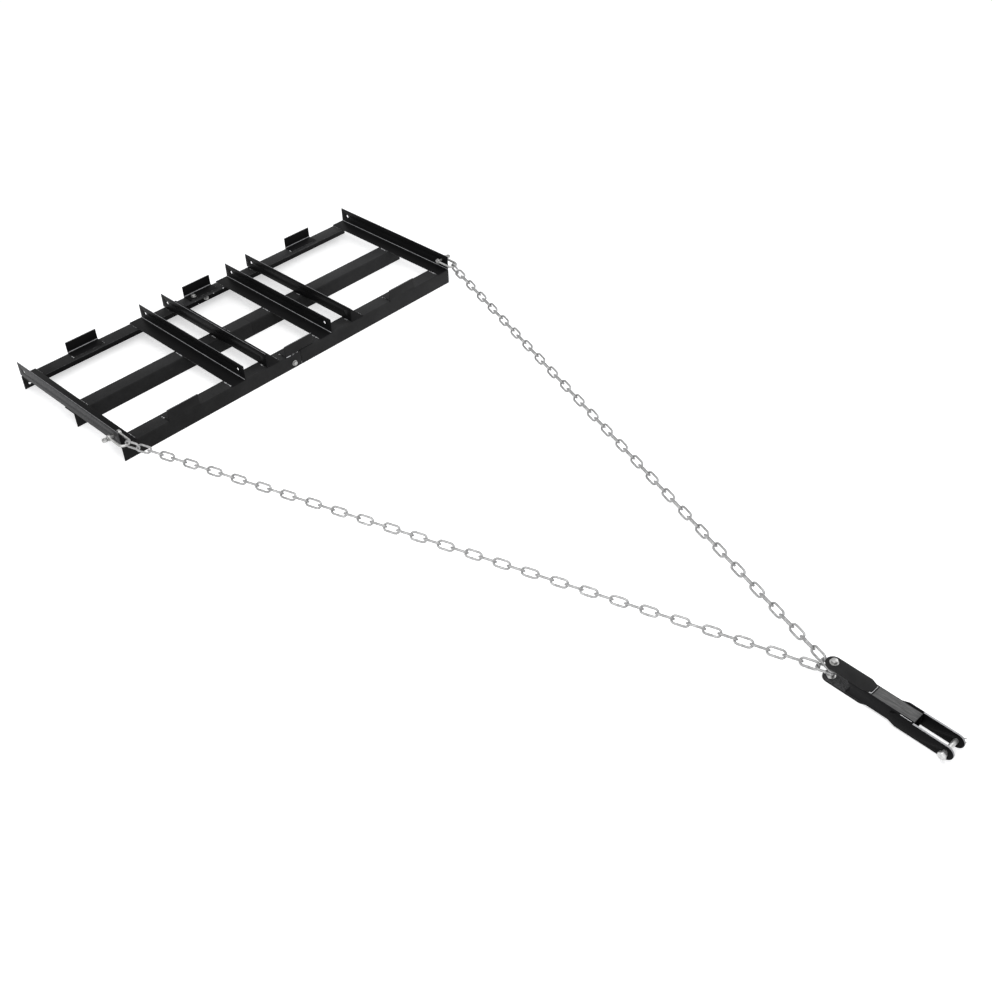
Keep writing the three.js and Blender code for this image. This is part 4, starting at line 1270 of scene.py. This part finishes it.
@dataclass
class DrawbarBracket:
    """Tube, clevis plates, side plates, clevis bolt, hitch pin and hairpin clip."""

    palette: Palette
    body: str = "drawbar_bracket"
    tube: float = 50.8 * MM
    wall: float = 4.8 * MM
    tube_rear: float = 62.0 * MM
    tube_front: float = 281.5 * MM
    notch: float = 15.0 * MM
    plate: float = 6.35 * MM
    plate_edge: float = 0.7 * MM
    plate_bore: float = 0.4 * MM
    arc_steps: int = 28
    gap: float = 0.3 * MM
    clevis_end: float = 138.0 * MM
    chamfer: Spot = (24.0 * MM, 10.0 * MM)
    side_rear: float = 210.0 * MM
    pin_place: float = 388.8 * MM
    bolt: float = 12.7 * MM
    bolt_flats: float = 19.0 * MM
    bolt_head: float = 8.0 * MM
    bolt_thread: Spot = (30.0 * MM, 1.95 * MM)
    nut: float = 11.0 * MM
    washer: Spot = (28.0 * MM, 2.6 * MM)
    pin: float = 15.9 * MM
    head_flats: float = 24.0 * MM
    head: float = 10.7 * MM
    play: float = 9.6 * MM
    pin_tail: float = 14.0 * MM
    pin_edge: float = 1.5 * MM
    clip: float = 3.0 * MM
    clip_leg: float = 24.0 * MM
    clip_loop: float = 11.0 * MM
    clip_back: float = 26.0 * MM
    clip_flare: float = 5.0 * MM
    edge_bead: Spot = (238 * MM, 276 * MM)
    toe_bead: float = 13 * MM
    cut_wear: float = 0.15
    side_wear: float = 0.8
    floor_veil: float = 1.1

    @property
    def middle(self) -> float:
        """Height of the tube's axis."""
        return self.plate + self.gap + self.tube / 2

    @property
    def top(self) -> float:
        """Underside of the top clevis plate."""
        return self.plate + 2 * self.gap + self.tube

    @property
    def outer(self) -> float:
        """Half the width over the side plates."""
        return self.tube / 2 + self.gap + self.plate

    @property
    def tail(self) -> Vector:
        """Middle of the cross hole in the pin's tail."""
        return Vector((-self.outer - self.pin_tail / 2, self.pin_place, self.middle))

    def place(self) -> Matrix:
        """The bracket's frame: origin on the ground below the clevis bolt, +Y ahead."""
        across = Vector(JOINTS["hitch_pin_slide"]["axis"]).normalized()
        ahead = Vector((0, 0, 1)).cross(across)
        origin = hinge("bracket_swivel")
        origin.z = 0
        turn = Matrix((across, ahead, Vector((0, 0, 1)))).transposed().to_4x4()
        return Matrix.Translation(origin) @ turn

    def build(self) -> None:
        """Builds every piece of the bracket."""
        palette = self.palette
        bottom = self.clevis_plate(0)
        # Painted sheen lightens the bottom plate's top face.
        bottom.mark([f for f in bottom.bm.faces if f.normal.z > 0.99], self.floor_veil, GLOSS_AND_SHEEN)
        self.add("bracket_tube", self.tube_solid(), palette.grey, Slot.GREY)
        self.add("clevis_plate_bottom", bottom, palette.rail_paint, Slot.PAINT)
        self.add("clevis_plate_top", self.clevis_plate(self.top), palette.rail_paint, Slot.PAINT)
        for side in Side:
            self.add(f"side_plate_{side.word}", self.side_plate(side), palette.paint, Slot.PAINT)
        self.add("clevis_bolt", self.clevis_bolt(self.top + self.plate + self.gap), palette.plated, Slot.ZINC)
        self.add("clevis_nut", self.clevis_nut(), palette.bright, Slot.ZINC)
        self.bracket_welds()
        self.add("hitch_pin", self.hitch_pin(), palette.bright, Slot.ZINC, "hitch_pin")
        self.add("hairpin_clip", self.hairpin(), palette.plated, Slot.ZINC, "hairpin_clip")

    def add(self, node: str, solid: Solid, material: Material, slot: Slot,
            body: Optional[str] = None) -> None:
        """Places a solid of the bracket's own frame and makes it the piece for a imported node.

        Args:
            node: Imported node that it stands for.
            solid: The solid, in the bracket's frame.
            material: Its finish.
            slot: Slot of the record.
            body: Body that it rides on, or None for the bracket.
        """
        solid.move(self.place()).piece(f"skin_{node}", material, body or self.body, slot, [node])

    def tube_solid(self) -> Solid:
        """Square tube with rounded corners and a round notch across its rear mouth."""
        half = self.tube / 2
        parts = []
        for size, corner in ((half, 4.5 * MM), (half - self.wall, 1.6 * MM)):
            solid = Solid()
            box = bmesh.ops.create_cube(solid.bm, size=1.0)
            span = self.tube_front - self.tube_rear + (0 if size == half else 20 * MM)
            bmesh.ops.scale(solid.bm, vec=(size * 2, span, size * 2), verts=box["verts"])
            long_edges = [e for e in solid.bm.edges if abs((e.verts[0].co - e.verts[1].co).y) > span / 2]
            solid.bevel(long_edges, corner, 5)
            parts.append(solid)
        tube = parts[0].combine(parts[1], "DIFFERENCE")
        tube.move(Matrix.Translation((0, (self.tube_rear + self.tube_front) / 2, self.middle)))
        radius = (half ** 2 + self.notch ** 2) / (2 * self.notch)
        cutter = Solid().add_rod(radius, -60 * MM, 60 * MM, Axis.X,
                                 (0, self.tube_rear + self.notch - radius, self.middle), 96)
        tube = tube.combine(cutter, "DIFFERENCE").soften(0.4 * MM, 2, 50)
        # Top and bottom faces marked for the grey finish, partly a painted sheen.
        outside = [f for f in tube.bm.faces if abs(f.normal.z) > 0.995
                   and abs(f.calc_center_median().z - self.middle) > half * 0.9]
        return tube.mark(outside, 1.0)

    def flat_plate(self, outline: Sequence[Spot], low: float, middle: float, bore: float,
                   sides: int) -> Solid:
        """A bored plate with broken edges.

        Args:
            outline: Its corners, in order.
            low: Underside.
            middle: X of the bore.
            bore: Diameter of the bolt or pin in it.
            sides: Sides of the bore.

        Returns:
            The solid.
        """
        hole = Solid().add_rod(bore / 2 + self.plate_bore, low - self.plate, low + 2 * self.plate,
                               Axis.Z, (middle, 0, 0), sides)
        solid = Solid().add_plate(outline, low, low + self.plate).combine(hole, "DIFFERENCE")
        return solid.soften(self.plate_edge, worn=self.cut_wear)

    def clevis_plate(self, low: float) -> Solid:
        """A clevis plate standing on the given height."""
        half, (long, wide), end = self.tube / 2, self.chamfer, self.clevis_end
        outline = [(half * math.cos(a), -half * math.sin(a)) for a in self.turns()]
        outline += [(-half, end - long), (wide - half, end), (half - wide, end), (half, end - long)]
        return self.flat_plate(outline, low, 0, self.bolt, 40)

    def turns(self) -> list[float]:
        """The angles of a round end, over half a turn."""
        return [math.pi * i / self.arc_steps for i in range(self.arc_steps + 1)]

    def side_plate(self, side: Side) -> Solid:
        """A side plate on the tube's cheek, its rim ahead of the tube lightened as a painted highlight."""
        half, (long, wide), rear = self.tube / 2, self.chamfer, self.side_rear
        outline = [(self.pin_place + half * math.sin(a), -half * math.cos(a)) for a in self.turns()]
        outline += [(rear + long, half), (rear, half - wide), (rear, wide - half), (rear + long, -half)]
        solid = self.flat_plate(outline, 0, self.pin_place, self.pin, 44)
        bmesh.ops.bisect_plane(solid.bm, geom=solid.bm.verts[:] + solid.bm.edges[:] + solid.bm.faces[:],
                               plane_co=(self.tube_front, 0, 0), plane_no=(1, 0, 0))
        # Rim ahead of the tube lightened as a painted highlight.
        solid.mark([f for f in solid.bm.faces if abs(f.normal.z) < 0.8
                    and f.calc_center_median().x > self.tube_front], self.side_wear)
        x = half + self.gap if side is Side.RIGHT else -self.outer
        return solid.move(Matrix(((0, 0, 1, x), (1, 0, 0, 0), (0, 1, 0, self.middle), (0, 0, 0, 1))))

    def clevis_bolt(self, seat: float) -> Solid:
        """Bolt head and washer on top, shank down through both plates."""
        (wide, height), (thread, pitch) = self.washer, self.bolt_thread
        radius, lap = self.bolt / 2, 0.05 * MM
        solid = Fastener.hexagon(self.bolt_flats, height, height + self.bolt_head).soften(0.3 * MM)
        solid.join(Fastener.washer(wide / 2, radius + Fastener.SNUG, height - Fastener.SINK))
        solid.join(Fastener.thread(radius, self.gap - seat, thread - seat, pitch))
        solid.join(Solid().add_rod(radius, thread - seat + lap, height - lap, segments=40))
        return solid.move(Matrix.Translation((0, 0, seat)))

    def clevis_nut(self) -> Solid:
        """Nut and washer on the bottom plate."""
        wide, height = self.washer
        nut = Fastener.nut(self.bolt_flats, self.bolt, height, height + self.nut).soften(0.3 * MM)
        nut.join(Fastener.washer(wide / 2, self.bolt / 2 + Fastener.LOOSE, height - Fastener.SINK))
        return nut.move(Matrix.Translation((0, 0, self.plate + self.gap)))

    def bracket_welds(self) -> None:
        """Beads along the edges of the plates on the tube: bright ones as a painted highlight on the front
        ends and the near side, painted black on the far side as painted shade and elsewhere.
        """
        welds = Welds(radius=2.2 * MM)
        bare, toes = Solid(), Solid()
        half, end = self.tube / 2, self.clevis_end
        corner = half - self.chamfer[1]
        # Bright beads along the plates' front ends carry a painted highlight.
        for z in (self.plate + 0.2 * MM, self.top - 0.2 * MM):
            left, right = (Vector((x * corner, end + 0.9 * MM, z)) for x in (-1, 1))
            back = Vector((3.5 * MM, 7.4 * MM, 0))
            bare.join(welds.bead(left - back, right + back * Vector((1, -1, 0)), 1.7 * MM, (left, right)))
            y, low, wide = end + 3.4 * MM, z - 0.9 * MM, corner + 4 * MM
            welds.lay(toes, (-wide, y, low), (wide, y, low), 2.6 * MM)
        # Near-side edge beads are bright as a painted highlight, far-side ones black as painted shade.
        for x, solid in ((half + 0.6 * MM, bare), (-half - 0.6 * MM, toes)):
            for z in (self.middle + half - 0.6 * MM, self.middle - half + 0.6 * MM):
                start, stop = self.edge_bead
                welds.lay(solid, (x, start, z), (x, stop, z), 1.1 * MM)
            y = self.side_rear - 0.7 * MM
            welds.lay(toes, (x, y, self.middle - self.toe_bead), (x, y, self.middle + self.toe_bead),
                      2.0 * MM)
        bare.move(self.place()).piece("bracket_welds", self.palette.bracket_weld, self.body, Slot.PAINT)
        toes.move(self.place()).piece("bracket_weld_toes", self.palette.paint, self.body, Slot.PAINT)

    def hitch_pin(self) -> Solid:
        """Headed pin, its hex head standing off on the right and a cross hole in its tail."""
        start, tail, end = self.outer + self.play, -self.outer - self.pin_tail, 1 * MM
        radius, edge = self.pin / 2, self.pin_edge
        profile = [(0.0, tail), (radius - edge, tail), (radius, tail + edge), (radius, start + end),
                   (0.0, start + end)]
        solid = Solid().add_ring(profile, steps=48)
        head = Fastener.hexagon(self.head_flats, start, start + self.head)
        head.move(Matrix.Rotation(math.pi / 2, 4, "Z"))
        solid = solid.combine(head, "UNION").move(Axis.X.value)
        solid.move(Matrix.Translation((0, self.pin_place, self.middle)))
        hole = Solid().add_rod(self.clip / 2 + self.gap, -self.pin, self.pin, Axis.Y, self.tail, 24)
        return solid.combine(hole, "DIFFERENCE").soften(0.3 * MM, 1, 50)

    def hairpin(self) -> Solid:
        """Hairpin clip bent from round wire, through the pin's tail."""
        lift = self.pin / 2 + self.clip / 2 + self.gap
        loop, back, flare, leg = self.clip_loop, self.clip_back, self.clip_flare, self.clip_leg
        rise = (lift + loop) / 2
        points = [(leg, 0), (leg / 2, 0), (0, 0), (-back / 2, 0), (-back, 0),
                  (-back - loop / 2, rise / 3), (-back - loop * 2 / 3, rise),
                  (-back - loop / 3, lift + flare / 3), (-back / 2, lift + flare / 3),
                  (0, lift), (leg / 2, lift + flare / 3), (leg * 0.9, lift + flare)]
        curve = bpy.data.curves.new("clip_path", "CURVE")
        curve.dimensions = "3D"
        curve.bevel_depth = self.clip / 2
        curve.bevel_resolution = 3
        curve.use_fill_caps = True
        curve.resolution_u = 6
        spline = curve.splines.new("BEZIER")
        spline.bezier_points.add(len(points) - 1)
        for knot, (y, z) in zip(spline.bezier_points, points):
            knot.co = (0, y, z)
            knot.handle_left_type = knot.handle_right_type = "AUTO"
        thing = bpy.data.objects.new("clip_path", curve)
        bpy.context.scene.collection.objects.link(thing)
        mesh = bpy.data.meshes.new_from_object(thing.evaluated_get(bpy.context.evaluated_depsgraph_get()))
        solid = Solid()
        solid.bm.from_mesh(mesh)
        bmesh.ops.remove_doubles(solid.bm, verts=solid.bm.verts[:], dist=MERGE)
        bpy.data.objects.remove(thing)
        bpy.data.curves.remove(curve)
        bpy.data.meshes.remove(mesh)
        return solid.move(Matrix.Translation(self.tail))


@dataclass(frozen=True)
class Lamp:
    """A square softbox: where it stands, what it points at, the side of its face and its watts."""

    name: str
    place: Spot
    aim: Spot
    size: float
    power: float

    def hang(self) -> None:
        """Adds the lamp to the scene."""
        data = bpy.data.lights.new(self.name, "AREA")
        data.size = self.size
        data.energy = self.power
        thing = bpy.data.objects.new(self.name, data)
        thing.location = self.place
        thing.rotation_euler = (Vector(self.aim) - Vector(self.place)).to_track_quat("-Z", "Y").to_euler()
        bpy.context.scene.collection.objects.link(thing)


@dataclass
class Studio:
    """Floor, soft lights and the camera."""

    width: int = 992
    focal: float = 1241.14
    sensor: float = 36.0
    eye: tuple[float, float, float] = (2.46842, 4.11173, 2.79029)
    turn: tuple[float, float, float] = (49.96356, 1.11679, 132.87911)
    ambient: float = 0.55
    floor_half: float = 40.0
    floor_drop: float = 0.5 * MM
    lamps: Sequence[Lamp] = (Lamp("key", (1.2, 0.6, 4.2), (0.0, -0.6, 0.0), 3.2, 95.0),
                             Lamp("side", (4.6, 0.5, 2.2), (0.3, -1.0, 0.1), 2.6, 75.0),
                             Lamp("fill", (-4.0, 1.5, 3.0), (0.0, -1.2, 0.1), 2.6, 50.0))

    def build(self, rear: float) -> None:
        """Sets up everything round the harrow.

        Args:
            rear: Y of the rear blade's back face, which the eye counts from.
        """
        self.floor()
        self.world()
        for lamp in self.lamps:
            lamp.hang()
        self.camera(rear)

    def floor(self) -> None:
        """Lays the pale floor."""
        solid = Solid()
        bmesh.ops.create_grid(solid.bm, x_segments=1, y_segments=1, size=self.floor_half)
        mesh = bpy.data.meshes.new("studio_floor")
        solid.bm.to_mesh(mesh)
        solid.bm.free()
        mesh.materials.append(FloorFinish().make())
        thing = bpy.data.objects.new("studio_floor", mesh)
        thing.location.z = -self.floor_drop
        bpy.context.scene.collection.objects.link(thing)

    def world(self) -> None:
        """Soft white surroundings, pure white to the camera."""
        world = bpy.data.worlds.new("studio")
        bpy.context.scene.world = world
        desk = NodeDesk(world)
        soft, white = (desk.node("ShaderNodeBackground", None, {"Color": colour, "Strength": strength})
                       for colour, strength in ((rgb(0.97, 0.98, 1.0), self.ambient), (rgb(1.0), 1.0)))
        both = desk.node("ShaderNodeMixShader", None, {0: desk.seen(), 1: soft, 2: white})
        desk.node("ShaderNodeOutputWorld", None, {"Surface": both}, None)

    def camera(self, rear: float) -> None:
        """Sets the camera at the photograph's angle."""
        data = bpy.data.cameras.new("camera")
        data.sensor_width = self.sensor
        data.sensor_fit = "HORIZONTAL"
        data.lens = self.focal * self.sensor / self.width
        data.clip_end = 200.0
        thing = bpy.data.objects.new("camera", data)
        thing.location = Vector(self.eye) + Vector((0, rear, 0))
        thing.rotation_euler = Euler([math.radians(a) for a in self.turn], "XYZ")
        bpy.context.scene.collection.objects.link(thing)
        bpy.context.scene.camera = thing


def main() -> None:
    """Builds the harrow and its studio."""
    logging.basicConfig(level=logging.INFO, format="%(message)s")
    bpy.context.scene.view_settings.view_transform = "Standard"
    palette = Palette()
    scraper = ScraperFrame(palette)
    scraper.build()
    for side in Side:
        Shackle(palette, side).build()
        TowChain(palette, side).build()
    DrawbarBracket(palette).build()
    Studio().build(scraper.rear)


if __name__ == "__main__":
    main()
